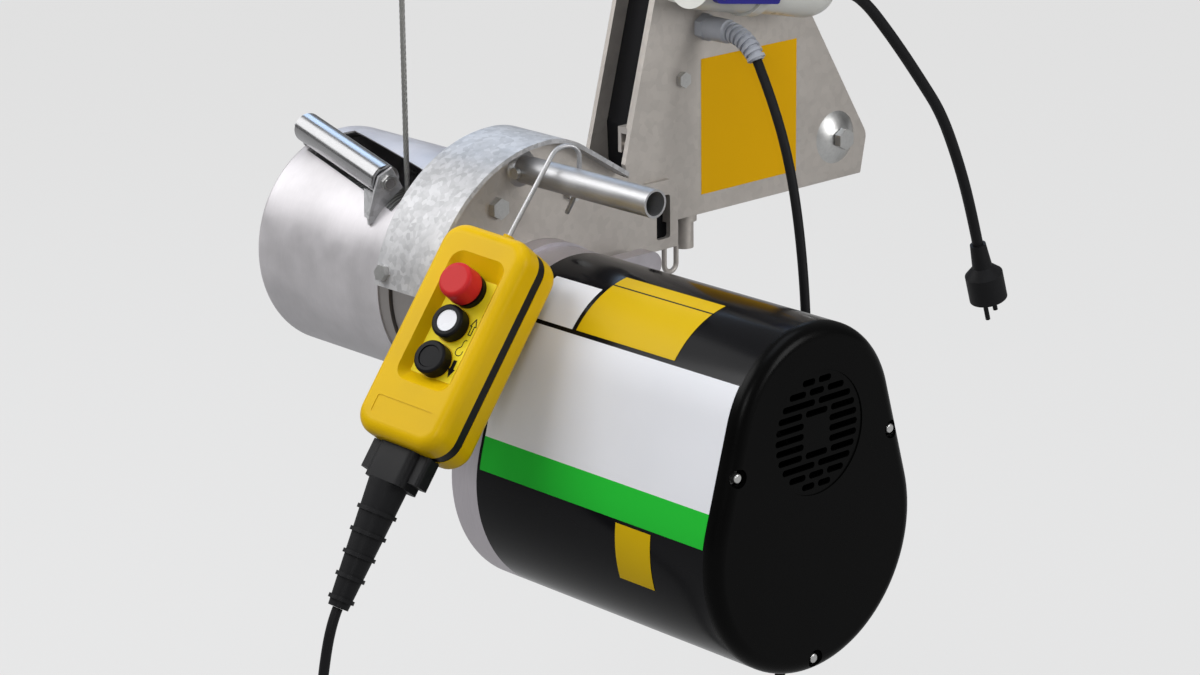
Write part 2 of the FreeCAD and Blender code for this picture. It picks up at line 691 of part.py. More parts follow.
def vents():
    """Rows of slots in a circle, joints staggered like bricks, with a solid middle."""
    slots = []
    for row in range(-VENT_ROWS, VENT_ROWS + 1):
        reach = math.sqrt(VENT_R ** 2 - (row * VENT_PITCH) ** 2)
        splits = [-reach, 0.0, reach] if row % 2 else [-reach, -reach / 3, reach / 3, reach]
        if abs(row) <= 1:
            splits = [-reach, -VENT_CORE, VENT_CORE, reach]
        for left, right in zip(splits, splits[1:]):
            left += VENT_BAR / 2 if left > -reach else 0.0
            right -= VENT_BAR / 2 if right < reach else 0.0
            solid_middle = abs(row) <= 1 and left > -reach and right < reach
            if not solid_middle:
                slots.append(vent_slot(left, right, MOTOR_Z + row * VENT_PITCH))
    return slots


def motor_cover():
    """Egg-section shell over the motor, with a boss for each of the cap's screws."""
    cover = egg(0, HOUSING_W, COVER_END).cut(egg(COVER_WALL, HOUSING_W - OVER, COVER_END + OVER))
    start = COVER_END - SCREW_BOSS_L
    inner = egg(COVER_WALL / 2, start, COVER_END)
    bosses = [cylinder_x(SCREW_BOSS_R, start, COVER_END, y, z).common(inner) for y, z in CAP_SCREWS]
    cover = cover.fuse(bosses).removeSplitter()
    holes = [cylinder_x(SCREW_R, start - OVER, COVER_END + OVER, y, z) for y, z in CAP_SCREWS]
    save("motor_cover", cover.cut(holes))


def end_cap():
    """Hollow cap with a rounded rim, notched screw seats and the vented round field."""
    cap = egg(0, COVER_END, CAP_FACE)
    rim = [edge for edge in cap.Edges if abs(edge.BoundBox.XMin - CAP_FACE) < PICK]
    cap = cap.makeFillet(CAP_EDGE, rim)
    start = COVER_END - OVER
    end = CAP_FACE + OVER
    hollow = egg(CAP_EDGE, start, CAP_FACE - COVER_WALL)
    seats = [cylinder_x(NOTCH_R + COVER_WALL, start, CAP_FACE, y, z) for y, z in CAP_SCREWS]
    cap = cap.cut(hollow.cut(seats))
    cap = cap.cut([cylinder_x(NOTCH_R, NOTCH_SEAT, end, y, z) for y, z in CAP_SCREWS])
    cap = cap.cut([cylinder_x(SCREW_R + HOLE_FIT, start, NOTCH_SEAT + OVER, y, z) for y, z in CAP_SCREWS])
    radius, depth = VENT_FIELD
    cap = cap.cut(cylinder_x(radius, CAP_FACE - depth, end, 0, MOTOR_Z))
    save("end_cap", cap.cut(vents()))


def cap_screws():
    """Three round-headed screws with washers, in the cap's notches."""
    seat = NOTCH_SEAT + WASHER_T
    top = seat + SCREW_HEAD_T
    screws = []
    for y, z in CAP_SCREWS:
        head = cylinder_x(SCREW_HEAD_R, seat, top, y, z)
        head = head.makeFillet(SCREW_EDGE, [edge for edge in head.Edges if edge.BoundBox.XMin > top - PICK])
        washer = cylinder_x(WASHER_R, NOTCH_SEAT, seat, y, z)
        screws.append(head.fuse([washer, cylinder_x(SCREW_R, COVER_END - SCREW_BOSS_L, NOTCH_SEAT, y, z)]))
    save("cap_screws", *screws)


# Drum end

def roller_frame():
    """Ends of the roller's axis, and its own directions: along, outwards and around."""
    left_y, left_z = polar(ROLLER_ORBIT, ROLLER_LEFT_ANGLE)
    right_y, right_z = polar(ROLLER_ORBIT, ROLLER_RIGHT_ANGLE)
    left = V(CASING_LEFT + ROLLER_LEFT_INSET, left_y, left_z)
    right = V(CASING_RIGHT - ROLLER_RIGHT_INSET, right_y, right_z)
    along = (right - left).normalize()
    middle = (left + right) * 0.5
    out = V(0, middle.y, middle.z)
    out = (out - along * out.dot(along)).normalize()
    return left, right, along, out, along.cross(out)


def skewed_box(corner, length, width, height, along, around, out):
    box = Part.makeBox(width, length, height)
    matrix = FreeCAD.Matrix(around.x, along.x, out.x, corner.x, around.y, along.y, out.y, corner.y,
                            around.z, along.z, out.z, corner.z, 0, 0, 0, 1)
    box.Placement = FreeCAD.Placement(matrix)
    return box


def drum_casing():
    """Drawn cup over the drum, with a rope slot that follows the slanted roller."""
    left, right, along, out, around = roller_frame()
    end = CASING_LEFT + CASING_WALL
    shell = cylinder_x(CASING_R, CASING_LEFT, CASING_RIGHT)
    shell = shell.makeFillet(CASING_EDGE, [e for e in shell.Edges if e.BoundBox.XMax < CASING_LEFT + PICK])
    inner = cylinder_x(CASING_R - CASING_WALL, end, CASING_RIGHT + OVER)
    edge = [e for e in inner.Edges if e.BoundBox.XMax < end + PICK]
    shell = shell.cut(inner.makeFillet(CASING_EDGE - CASING_WALL, edge))
    start = left + along * (SLOT_LEFT - ROLLER_LEFT_INSET)
    slot_end = CASING_RIGHT - SLOT_RIGHT
    corner = start - around * SLOT_BACK - out * SLOT_CUT
    slot = skewed_box(corner, (slot_end - start.x) / along.x, SLOT_BACK + SLOT_FRONT, SLOT_CUT + ROLLER_R,
                      along, around, out)
    shell = shell.cut(slot.cut(cylinder_x(CASING_R + OVER, slot_end, CASING_RIGHT + OVER)))
    save("drum_casing", shell.cut(cylinder_x(STUD_R + HOLE_FIT, CASING_LEFT - OVER, end + OVER)))


def guide_roller():
    """Hollow roller with a plug in each end, on a fixed axle."""
    left, right, along, out, around = roller_frame()
    body = rod(ROLLER_R, left, right).cut(rod(ROLLER_BORE, left, right))
    for end, inward in ((left, along), (right, -along)):
        outer = end + inward * ROLLER_PLUG_INSET
        body = body.fuse(rod(ROLLER_BORE + ROLLER_PLUG_PRESS, outer, outer + inward * ROLLER_PLUG))
    body = body.cut(rod(AXLE_R + RUN_FIT, left - along, right + along))
    save("guide_roller", body.removeSplitter())
    tip = along * (ROLLER_END_GAP + TAB_T + NUT_T + AXLE_OUT)
    save("roller_axle", rod(AXLE_R, left - tip, right + tip))


def roller_tab(end, outward, around, out, outline):
    """One sheet tab that carries an end of the roller's axle, cut to the casing's round."""
    corners = [end + outward * ROLLER_END_GAP + around * t + out * v for t, v in outline]
    tab = Part.Face(Part.makePolygon(corners + corners[:1])).extrude(outward * TAB_T)
    if outline is TAB_RIGHT:
        top, foot = corners[2:4]
        lip = outward * TAB_T
        fold = [top + lip, foot + lip, foot - outward * TAB_FLANGE[1], top - outward * TAB_FLANGE[0]]
        inward = outward.cross(foot - top).normalize() * TAB_T
        tab = tab.fuse(Part.Face(Part.makePolygon(fold + fold[:1])).extrude(inward))
    skin = cylinder_x(CASING_R, CASING_LEFT - CASING_R, CASING_RIGHT + CASING_R)
    bore = rod(AXLE_R, end, end + outward * (ROLLER_END_GAP + TAB_T + OVER))
    return tab.cut([skin, bore]).removeSplitter()


def roller_mounting():
    """Both tabs, the axle's nuts and the nut on the drum axle's stud."""
    left, right, along, out, around = roller_frame()
    nuts = []
    tabs = []
    for end, outward, outline in ((left, -along, TAB_LEFT), (right, along, TAB_RIGHT)):
        tabs.append(roller_tab(end, outward, around, out, outline))
        seat = end + outward * (ROLLER_END_GAP + TAB_T)
        nut = hex_prism(NUT_AF, NUT_T, seat, outward)
        nuts.append(nut.cut(rod(AXLE_R, seat - outward, seat + outward * (NUT_T + OVER))))
    nut = hex_prism(CASING_NUT_AF, CASING_NUT_T, V(CASING_LEFT, 0, 0), -X_AXIS)
    nuts.append(nut.cut(cylinder_x(STUD_R, CASING_LEFT - CASING_NUT_T - OVER, CASING_LEFT + OVER)))
    save("axle_nuts", *nuts)
    save("roller_brackets", *tabs)


def rope_drum():
    """Drum with two flanges, its wound rope, its fixed axle and the rope that leaves it."""
    left = DRUM_LEFT
    inner = BARREL_R - BARREL_WALL
    seat = DRUM_BEARING_R
    outline = [(left, seat), (left, DRUM_FLANGE_R), (left + DRUM_FLANGE_T, DRUM_FLANGE_R),
               (left + DRUM_FLANGE_T, BARREL_R), (DRUM_RIGHT - DRUM_FLANGE_T, BARREL_R),
               (DRUM_RIGHT - DRUM_FLANGE_T, DRUM_FLANGE_R), (DRUM_RIGHT, DRUM_FLANGE_R), (DRUM_RIGHT, seat),
               (DRUM_RIGHT - DRUM_BEARING_W, seat), (DRUM_RIGHT - DRUM_BEARING_W, inner),
               (left + DRUM_BEARING_W, inner), (left + DRUM_BEARING_W, seat)]
    save("rope_drum", revolve_x(outline))
    wound_end = ROPE_X - ROPE_D / 2 - WINDING_GAP
    save("rope_winding", tube_x(BARREL_R + ROPE_D, BARREL_R, left + DRUM_FLANGE_T, wound_end))
    axle = cylinder_x(DRUM_AXLE_R, CASING_LEFT + CASING_WALL, PLATE_BACK)
    save("drum_axle", axle.fuse(cylinder_x(STUD_R, CASING_LEFT - STUD_OUT, CASING_LEFT + CASING_WALL)))
    save("hoist_rope", rod(ROPE_D / 2, V(ROPE_X, ROPE_Y, 0), V(ROPE_X, ROPE_Y, ROPE_TOP)))


def gear_case():
    """Turned ring between casing and plate, with the final pinion's bearing in its wall."""
    rim_end = CASING_RIGHT + CASE_RIM_W
    groove_end = rim_end + CASE_GROOVE_W
    flange = PLATE_BACK - CASE_FLANGE_T
    spigot_r = CASING_R - CASING_WALL - SEAT_FIT
    spigot = CASING_RIGHT - CASE_SPIGOT
    wall = PLATE_BACK - CASE_WALL
    outline = [(spigot, spigot_r - CASE_SPIGOT_T), (spigot, spigot_r), (CASING_RIGHT, spigot_r),
               (CASING_RIGHT, CASE_RIM_R), (rim_end, CASE_RIM_R), (rim_end, CASE_GROOVE_R),
               (groove_end, CASE_GROOVE_R), (groove_end, CASE_R), (flange, CASE_R), (flange, CASE_FLANGE_R),
               (PLATE_BACK, CASE_FLANGE_R), (PLATE_BACK, DRUM_AXLE_R), (wall, DRUM_AXLE_R),
               (wall, CASE_BORE_R), (CASING_RIGHT, CASE_BORE_R), (CASING_RIGHT, spigot_r - CASE_SPIGOT_T)]
    case = revolve_x(outline)
    case = case.cut(cylinder_x(OUTPUT_BEARING_R, wall - OVER, PLATE_BACK + OVER, 0, MOTOR_Z))
    holes = []
    for angle in PLATE_BOLT_ANGLES:
        y, z = polar(PLATE_BOLT_R, angle)
        holes.append(cylinder_x(PLATE_BOLT_M, PLATE_FACE - PLATE_BOLT_L - OVER, PLATE_BACK + OVER, y, z))
    save("gear_case", case.cut(holes))


# Frame

def rim_line(radius):
    """Rim line at a radius from the drum axis: circle, bend and straight end, as edges at x = 0."""
    inset = RIM_R - radius
    bend_r = RIM_BEND_R - inset
    centre_z = RIM_R - RIM_BEND_R
    start_y, start_z = polar(radius, RIM_START)
    middle_y, middle_z = polar(radius, (RIM_START + 90) / 2)
    top = V(0, 0, radius)
    bend_y, bend_z = polar(bend_r, 90 - RIM_BEND)
    half_y, half_z = polar(bend_r, 90 - RIM_BEND / 2)
    bend = V(0, bend_y, centre_z + bend_z)
    drop = math.tan(math.radians(RIM_BEND))
    end = V(0, RIM_END_Y, bend.z - (RIM_END_Y - bend.y) * drop)
    start = V(0, start_y, start_z)
    edges = [Part.Arc(start, V(0, middle_y, middle_z), top).toShape(),
             Part.Arc(top, V(0, half_y, centre_z + half_z), bend).toShape(),
             Part.LineSegment(bend, end).toShape()]
    return edges, start, end


def rim_bolt_seat():
    """Place of the rim's bolt on its outside, and the way outwards."""
    y, z = polar(RIM_R, RIM_BOLT_ANGLE)
    return V(RIM_BOLT_X, y, z), V(0, y, z).normalize()


def rim_flange():
    """Bent strip around the plate's edge, chamfered at its lower near corner."""
    outer, outer_start, outer_end = rim_line(RIM_R)
    inner, inner_start, inner_end = rim_line(RIM_R - RIM_T)
    closing = [Part.LineSegment(outer_end, inner_end).toShape(),
               Part.LineSegment(inner_start, outer_start).toShape()]
    wire = Part.Wire(Part.__sortEdges__(outer + inner + closing))
    rim = Part.Face(wire).extrude(V(-RIM_W, 0, 0))
    low = inner_start.z - OVER
    front = -RIM_R - OVER
    chamfer = [V(OVER, front, low), V(-RIM_CHAMFER, front, low), V(OVER, front, low + RIM_CHAMFER + OVER)]
    rim = rim.cut(Part.Face(Part.makePolygon(chamfer + chamfer[:1])).extrude(V(0, 2 * RIM_CHAMFER, 0)))
    seat, out = rim_bolt_seat()
    hole = rod(SMALL_BOLT_R + HOLE_FIT, seat - out * RIM_BOLT_L, seat + out * RIM_BOLT_L)
    save("rim_flange", rim.cut(hole))


def frame_plate():
    """Plate inside the rim with an arm to the bracket, and the bent eye under the arm."""
    inner, inner_start, inner_end = rim_line(RIM_R - RIM_T)
    corner = ARM_CORNER
    cut_in = corner * (1 - math.sqrt(0.5))
    flat = V(0, ARM_RIGHT - ARM_FLAT, ARM_TOP)
    round_start = V(0, ARM_RIGHT - corner, ARM_TOP)
    round_end = V(0, ARM_RIGHT, ARM_TOP - corner)
    arch = [Part.LineSegment(inner_end, flat).toShape(), Part.LineSegment(flat, round_start).toShape(),
            Part.Arc(round_start, V(0, ARM_RIGHT - cut_in, ARM_TOP - cut_in), round_end).toShape()]
    hip_y, hip_z = PLATE_HIP
    foot_y, foot_z = PLATE_FOOT
    low_points = [round_end, V(0, ARM_RIGHT, ARM_BOTTOM), V(0, ARM_ROOT, ARM_BOTTOM), V(0, hip_y, hip_z),
                  V(0, foot_y, foot_z), V(0, -foot_y, foot_z), V(0, -hip_y, hip_z), inner_start]
    low_edges = [Part.LineSegment(a, b).toShape() for a, b in zip(low_points, low_points[1:])]
    plate = Part.Face(Part.Wire(Part.__sortEdges__(inner + arch + low_edges))).extrude(V(-PLATE_T, 0, 0))
    plate.translate(V(PLATE_FACE, 0, 0))
    y0, y1, z0, z1 = PLATE_SLOT
    depth = PLATE_T + 2 * OVER
    slot = Part.makeBox(depth, y1 - y0, z1 - z0, V(PLATE_BACK - OVER, y0, z0))
    corners = [edge for edge in slot.Edges if abs(edge.BoundBox.XLength - depth) < PICK]
    slot = slot.makeFillet(PLATE_SLOT_CORNER, corners)
    neck = cylinder_x(NECK_R + SEAT_FIT, PLATE_BACK - OVER, PLATE_FACE + OVER, 0, NECK_Z)
    plate = plate.cut([slot, neck])
    for angle in PLATE_BOLT_ANGLES:
        y, z = polar(PLATE_BOLT_R, angle)
        plate = plate.cut(cylinder_x(PLATE_BOLT_M + HOLE_FIT, PLATE_BACK - OVER, PLATE_FACE + OVER, y, z))

    eye_x = (PLATE_FACE + PLATE_BACK) / 2
    turn_z = EYE_LOW + EYE_BAR_R + EYE_R
    left = V(eye_x, EYE_Y - EYE_R, turn_z)
    right = V(eye_x, EYE_Y + EYE_R, turn_z)
    path = Part.Wire([Part.LineSegment(V(eye_x, left.y, ARM_BOTTOM), left).toShape(),
                      Part.Arc(left, V(eye_x, EYE_Y, turn_z - EYE_R), right).toShape(),
                      Part.LineSegment(right, V(eye_x, right.y, ARM_BOTTOM)).toShape()])
    save("frame_plate", plate, sweep(path, EYE_BAR_R))


def carrying_handle():
    """Tube welded to the plate, with a cross pin near its foot."""
    inner_r = HANDLE_R - HANDLE_WALL
    handle = tube_x(HANDLE_R, inner_r, PLATE_FACE, HANDLE_END, HANDLE_Y, HANDLE_Z)
    foot = V(PLATE_FACE, HANDLE_Y, HANDLE_Z)
    weld = Part.makeCone(HANDLE_R + HANDLE_WELD, HANDLE_R, HANDLE_WELD, foot, X_AXIS)
    weld = weld.cut(cylinder_x(inner_r, PLATE_FACE - OVER, HANDLE_END, HANDLE_Y, HANDLE_Z))
    across = V(0, HANDLE_R + HANDLE_WELD + OVER, 0)
    middle = V(HANDLE_BOLT_X, HANDLE_Y, HANDLE_Z)
    save("handle_tube", handle.fuse(weld).cut(rod(HANDLE_BOLT_R, middle - across, middle + across)))


def frame_bolts():
    """Cross pin of the handle, the rim's bolt and nut, and the bolts of the plate."""
    middle = V(HANDLE_BOLT_X, HANDLE_Y, HANDLE_Z)
    side = V(0, HANDLE_R + FACE_GAP, 0)
    head = V(0, HANDLE_BOLT_HEAD_T, 0)
    pin = rod(HANDLE_BOLT_R, middle - side - head, middle + side + head)
    heads = [rod(HANDLE_BOLT_HEAD_R, middle - side - head, middle - side),
             rod(HANDLE_BOLT_HEAD_R, middle + side, middle + side + head)]
    seat, out = rim_bolt_seat()
    nut_seat = seat - out * (RIM_T + FACE_GAP)
    nut = hex_prism(SMALL_BOLT_AF, SMALL_NUT_T, nut_seat, -out)
    nut = nut.cut(rod(SMALL_BOLT_R, seat, nut_seat - out * (SMALL_NUT_T + OVER)))
    bolts = [hex_bolt(SMALL_BOLT_R, SMALL_BOLT_AF, RIM_BOLT_HEAD, RIM_BOLT_L, seat, out), nut]
    for angle in PLATE_BOLT_ANGLES:
        place = V(PLATE_FACE, *polar(PLATE_BOLT_R, angle))
        bolts.append(hex_bolt(PLATE_BOLT_M, PLATE_BOLT_AF, PLATE_BOLT_HEAD, PLATE_BOLT_L, place, X_AXIS))
    save("frame_bolts", pin.fuse(heads), *bolts)


def sweep(path, radius):
    """A round bar along a path of lines and tangent arcs."""
    start = path.OrderedEdges[0]
    tangent = start.tangentAt(start.FirstParameter)
    circle = Part.Wire([Part.Circle(start.valueAt(start.FirstParameter), tangent, radius).toShape()])
    return path.makePipeShell([circle], True, False)


# Bracket

def bracket_plates():
    """Near and far side plate, alike but for the notch behind the arm's slot."""
    outline = [BRACKET_FRONT, (BRACKET_LOW_FRONT, BRACKET_LOW), (BRACKET_LOW_REAR, BRACKET_LOW), BRACKET_REAR,
               (BRACKET_TOP_REAR, BRACKET_TOP), (BRACKET_TOP_FRONT, BRACKET_TOP)]
    for name, start in (("bracket_plate_near", NEAR_BACK), ("bracket_plate_far", FAR_BACK)):
        plate = prism(outline, start, start + BRACKET_T)
        across = [edge for edge in plate.Edges if edge.BoundBox.XLength > BRACKET_T / 2]
        tops = [edge for edge in across if edge.BoundBox.ZMin > BRACKET_TOP - PICK]
        tops += [edge for edge in across if edge.BoundBox.YMin > BRACKET_REAR[0] - PICK]
        plate = plate.makeFillet(BRACKET_CORNER, tops)
        end = start + BRACKET_T + OVER
        cuts = [cylinder_x(HANGER_R, start - OVER, end, HANGER_Y, HANGER_Z)]
        if start == NEAR_BACK:
            y0, y1, z0, z1 = PLATE_SLOT
            cuts.append(Part.makeBox(BRACKET_T + 2 * OVER, y1 - y0, z1 - z0, V(start - OVER, y0, z0)))
        for (y, z), r in ((SMALL_BOLT, SMALL_BOLT_R), (DOME_BOLT, DOME_BOLT_R)):
            cuts.append(cylinder_x(r + HOLE_FIT, start - OVER, end, y, z))
        save(name, plate.cut(cuts))


def bracket_web():
    """Bent strip that closes the bracket's channel below and behind, and the stub under it."""
    low_start = BRACKET_LOW_FRONT + WEB_FRONT
    low_end = BRACKET_LOW_REAR - WEB_CORNER
    ramp = V(0, BRACKET_TOP_REAR - BRACKET_REAR[0], BRACKET_TOP - BRACKET_REAR[1]).normalize()
    side = V(0, -ramp.z, ramp.y) * WEB_T
    knee = V(0, BRACKET_REAR[0], BRACKET_REAR[1]) + ramp * WEB_KNEE + side
    end = knee + ramp * WEB_RAMP
    web = [(low_start, BRACKET_LOW), (low_end, BRACKET_LOW), (knee.y, knee.z), (end.y, end.z),
           (end.y + side.y, end.z + side.z), (knee.y + side.y, knee.z),
           (low_end - WEB_T, BRACKET_LOW + WEB_T), (low_start, BRACKET_LOW + WEB_T)]
    y, x, low = STUB
    stub = rod(STUB_R, V(x, y, low), V(x, y, BRACKET_LOW))
    stub = stub.fuse(rod(STUB_COLLAR_R, V(x, y, BRACKET_LOW - STUB_COLLAR_L), V(x, y, BRACKET_LOW)))
    save("bracket_web", prism(web, FAR_FACE, NEAR_BACK), stub)


def dome_washer(start, height, y, z, bore):
    """Pressed dome with its rim on a plate face, pointing along X by the sign of its height."""
    ball_r = (DOME_R ** 2 + height ** 2) / (2 * abs(height))
    ball = Part.makeSphere(ball_r, V(start + height - math.copysign(ball_r, height), y, z))
    low = min(start, start + height)
    high = max(start, start + height)
    dome = ball.common(cylinder_x(DOME_R + OVER, low, high, y, z))
    return dome.cut(cylinder_x(bore, low - OVER, high + OVER, y, z))


def bracket_bolts():
    """Two through bolts with nuts and spacers, and the domed washers of the rear one."""
    bolts = []
    spacers = []
    domes = []
    for (y, z), r, flats, lift in ((SMALL_BOLT, SMALL_BOLT_R, SMALL_BOLT_AF, 0.0),
                                   (DOME_BOLT, DOME_BOLT_R, DOME_BOLT_AF, DOME_H)):
        seat = NEAR_FACE + lift
        back = FAR_BACK - lift
        nut_t = r * NUT_SHARE
        length = seat - back + nut_t + BOLT_TAIL
        bolts.append(hex_bolt(r, flats, r * HEAD_SHARE, length, V(seat, y, z), X_AXIS))
        nut = hex_prism(flats, nut_t, V(back, y, z), -X_AXIS)
        bolts.append(nut.cut(cylinder_x(r, back - nut_t - OVER, back + OVER, y, z)))
        spacers.append(tube_x(r + SPACER_WALL, r + HOLE_FIT, FAR_FACE, NEAR_BACK, y, z))
        if lift:
            for start, height in ((NEAR_FACE, lift), (FAR_BACK, -lift)):
                domes.append(dome_washer(start, height, y, z, r + HOLE_FIT))
    save("bracket_bolts", *(bolts + spacers))
    save("dome_washers", *domes)


def bracket_front(z, inset):
    """Distance from the drum axis to a place behind the bracket's sloping front edge."""
    lean = (BRACKET_TOP_FRONT - BRACKET_FRONT[0]) / (BRACKET_TOP - BRACKET_FRONT[1])
    return BRACKET_FRONT[0] + (z - BRACKET_FRONT[1]) * lean + inset


def switch_box():
    """Black box in the bracket's channel, with a tail behind the arm's slot."""
    rear = BOX_INSET + BOX_DEPTH
    step = BOX_LOW + BOX_STEP_H
    box = [(bracket_front(BOX_LOW, BOX_INSET + BOX_STEP), BOX_LOW), (bracket_front(BOX_LOW, rear), BOX_LOW),
           (bracket_front(BOX_HIGH, rear), BOX_HIGH), (bracket_front(BOX_HIGH, BOX_INSET), BOX_HIGH),
           (bracket_front(step, BOX_INSET), step)]
    spacer = cylinder_x(SMALL_BOLT_R + SPACER_WALL + FACE_GAP, FAR_FACE - OVER, NEAR_BACK + OVER, *SMALL_BOLT)
    y0, y1, low, depth = BOX_TAIL
    tail = Part.makeBox(depth, y1 - y0, BOX_LOW - low + OVER, V(NEAR_BACK - depth, y0, low))
    save("switch_box", prism(box, FAR_FACE, NEAR_BACK).fuse(tail).cut(spacer).removeSplitter())


def stay_rod():
    """Flat stay along the channel's front edge, with a pinned fork at its lower end."""
    rear = STAY_INSET + STAY_BAR_W
    bar = [(bracket_front(STAY_LOW, STAY_INSET), STAY_LOW), (bracket_front(STAY_LOW, rear), STAY_LOW),
           (bracket_front(STAY_HIGH, rear), STAY_HIGH), (bracket_front(STAY_HIGH, STAY_INSET), STAY_HIGH)]
    stay = prism(bar, NEAR_BACK - STAY_T, NEAR_BACK)
    start = NEAR_BACK - FORK_T
    low = STAY_LOW - FORK_L
    fork_y = bracket_front(STAY_LOW, STAY_INSET + STAY_BAR_W / 2)
    fork = Part.makeBox(FORK_T, STAY_W, FORK_L, V(start, fork_y - STAY_W / 2, low))
    cheek = (FORK_T - FORK_GAP) / 2
    gap = Part.makeBox(FORK_GAP, STAY_W + 2 * OVER, FORK_L,
                       V(start + cheek, fork_y - STAY_W / 2 - OVER, low - FORK_WEB))
    pin = cylinder_x(FORK_PIN_R, start, NEAR_BACK, fork_y, low + FORK_PIN_UP)
    save("stay_rod", stay.fuse(fork.cut(gap)).fuse(pin).removeSplitter())


# Cords

def cord_path(route):
    """Straight runs joined by tangent arcs, each arc as large as its two runs allow."""
    points = [V(*p) for p in route]
    edges = []
    radii = []
    here = points[0]
    for before, corner, after in zip(points, points[1:], points[2:]):
        run_in = corner - before
        run_out = after - corner
        reach = ARC_SHARE * min(run_in.Length, run_out.Length)
        turn = run_in.getAngle(run_out)
        radii.append(reach / math.tan(turn / 2))
        u = V(run_in).normalize()
        v = V(run_out).normalize()
        enter = corner - u * reach
        leave = corner + v * reach
        centre_way = (v - u).normalize()
        centre = corner + centre_way * (radii[-1] / math.cos(turn / 2))
        middle = centre - centre_way * radii[-1]
        edges.append(Part.LineSegment(here, enter).toShape())
        edges.append(Part.Arc(enter, middle, leave).toShape())
        here = leave
    edges.append(Part.LineSegment(here, points[-1]).toShape())
    return Part.Wire(edges), radii


def cord(name, route, diameter):
    path, radii = cord_path(route)
    tube = sweep(path, diameter / 2)
    section = math.pi * diameter ** 2 / 4 * path.Length
    print(name, "length %.0f" % path.Length, "volume ratio %.4f" % (tube.Volume / section),
          "radii", " ".join("%.0f" % r for r in radii))
    save(name, tube)


def mains_plug():
    """Moulded plug with two pins on the mains cord's far end."""
    end = V(*MAINS_ROUTE[-1])
    way = (end - V(*MAINS_ROUTE[-2])).normalize()
    outline = [(0.0, 0.0), (0.0, PLUG_TAIL_R), (PLUG_WAIST, PLUG_WAIST_R), (PLUG_SHOULDER, PLUG_R),
               (PLUG_L, PLUG_R), (PLUG_L, 0.0)]
    plug = revolve_x(outline)
    sides = (-PLUG_PIN_PITCH / 2, PLUG_PIN_PITCH / 2)
    pins = [cylinder_x(PLUG_PIN_R, PLUG_L - OVER, PLUG_L + PLUG_PIN_L, side, 0) for side in sides]
    plug = plug.fuse(pins)
    plug.Placement = FreeCAD.Placement(end, FreeCAD.Rotation(X_AXIS, way))
    save("mains_plug", plug)


# Gland, inlet and connector on the bracket

def cable_gland():
    """Gland nut and body, with a ribbed bend sleeve that turns down to the control cord."""
    nut = hex_prism(GLAND_AF, GLAND_NUT_T, V(NEAR_FACE, GLAND_Y, GLAND_Z), X_AXIS)
    end = NEAR_FACE + GLAND_L
    body = cylinder_x(GLAND_R, NEAR_FACE + GLAND_NUT_T - OVER, end, GLAND_Y, GLAND_Z)
    cone = Part.makeCone(GLAND_R, BEND_CORE_R, GLAND_CONE, V(end, GLAND_Y, GLAND_Z), X_AXIS)
    top = V(end, GLAND_Y, GLAND_Z)
    centre = top - V(0, 0, BEND_R)

    def on_bend(turn):
        a = math.radians(turn)
        return centre + V(BEND_R * math.sin(a), 0, BEND_R * math.cos(a)), V(math.cos(a), 0, -math.sin(a))

    path = Part.Wire([Part.Arc(top, on_bend(BEND_TURN / 2)[0], on_bend(BEND_TURN)[0]).toShape()])
    sleeve = sweep(path, BEND_CORE_R)
    ribs = []
    for k in range(BEND_RIBS):
        at, way = on_bend(BEND_TURN * (k + 0.5) / BEND_RIBS)
        rib_r = BEND_RIB_R - BEND_RIB_TAPER * k
        ribs.append(Part.makeCylinder(rib_r, BEND_RIB_W, at - way * (BEND_RIB_W / 2), way))
    save("cable_gland", nut.fuse([body, cone, sleeve] + ribs))


def inlet_mouth():
    """Middle of the inlet's open end, and the way the connector goes on."""
    tilt = math.radians(INLET_TILT)
    way = V(0, math.cos(tilt), -math.sin(tilt))
    return V(INLET_X, INLET_Y, INLET_Z) + way * INLET_L, way


def power_inlet():
    """Round inlet on its base, and the locking lever that turns on its stud."""
    mouth, way = inlet_mouth()
    y0, y1, z0, z1 = INLET_BASE
    base = Part.makeBox(INLET_X - NEAR_FACE, y1 - y0, z1 - z0, V(NEAR_FACE, y0, z0))
    cup = rod(INLET_R, mouth - way * INLET_L, mouth)
    cup = cup.fuse(rod(INLET_R + INLET_RING, mouth - way * INLET_RING_W, mouth))
    pivot_y, pivot_z = LEVER_PIVOT
    boss_end = INLET_X + INLET_R + INLET_RING
    lever_x = boss_end + FACE_GAP
    head_at = lever_x + LEVER_T + FACE_GAP
    boss = cylinder_x(LEVER_BOSS_R, INLET_X, boss_end, pivot_y, pivot_z)
    stud = cylinder_x(LEVER_PIN_R, boss_end, head_at, pivot_y, pivot_z)
    stud = stud.fuse(cylinder_x(LEVER_HEAD_R, head_at, head_at + LEVER_HEAD_T, pivot_y, pivot_z))
    save("power_inlet", base.fuse([cup, boss]), stud)

    pivot = V(lever_x, pivot_y, pivot_z)
    tip = V(lever_x, *LEVER_TIP)
    lobe = cylinder_x(LEVER_R, lever_x, lever_x + LEVER_T, pivot_y, pivot_z)
    nose = cylinder_x(LEVER_TIP_R, lever_x, lever_x + LEVER_T, tip.y, tip.z)
    reach = (tip - pivot).normalize()
    side = V(0, -reach.z, reach.y)
    corners = [pivot + side * LEVER_R, tip + side * LEVER_TIP_R,
               tip - side * LEVER_TIP_R, pivot - side * LEVER_R]
    arm = Part.Face(Part.makePolygon(corners + corners[:1])).extrude(V(LEVER_T, 0, 0))
    lever = lobe.fuse([nose, arm]).removeSplitter()
    save("inlet_lever", lever.cut(cylinder_x(LEVER_PIN_R + RUN_FIT, boss_end, head_at, pivot_y, pivot_z)))


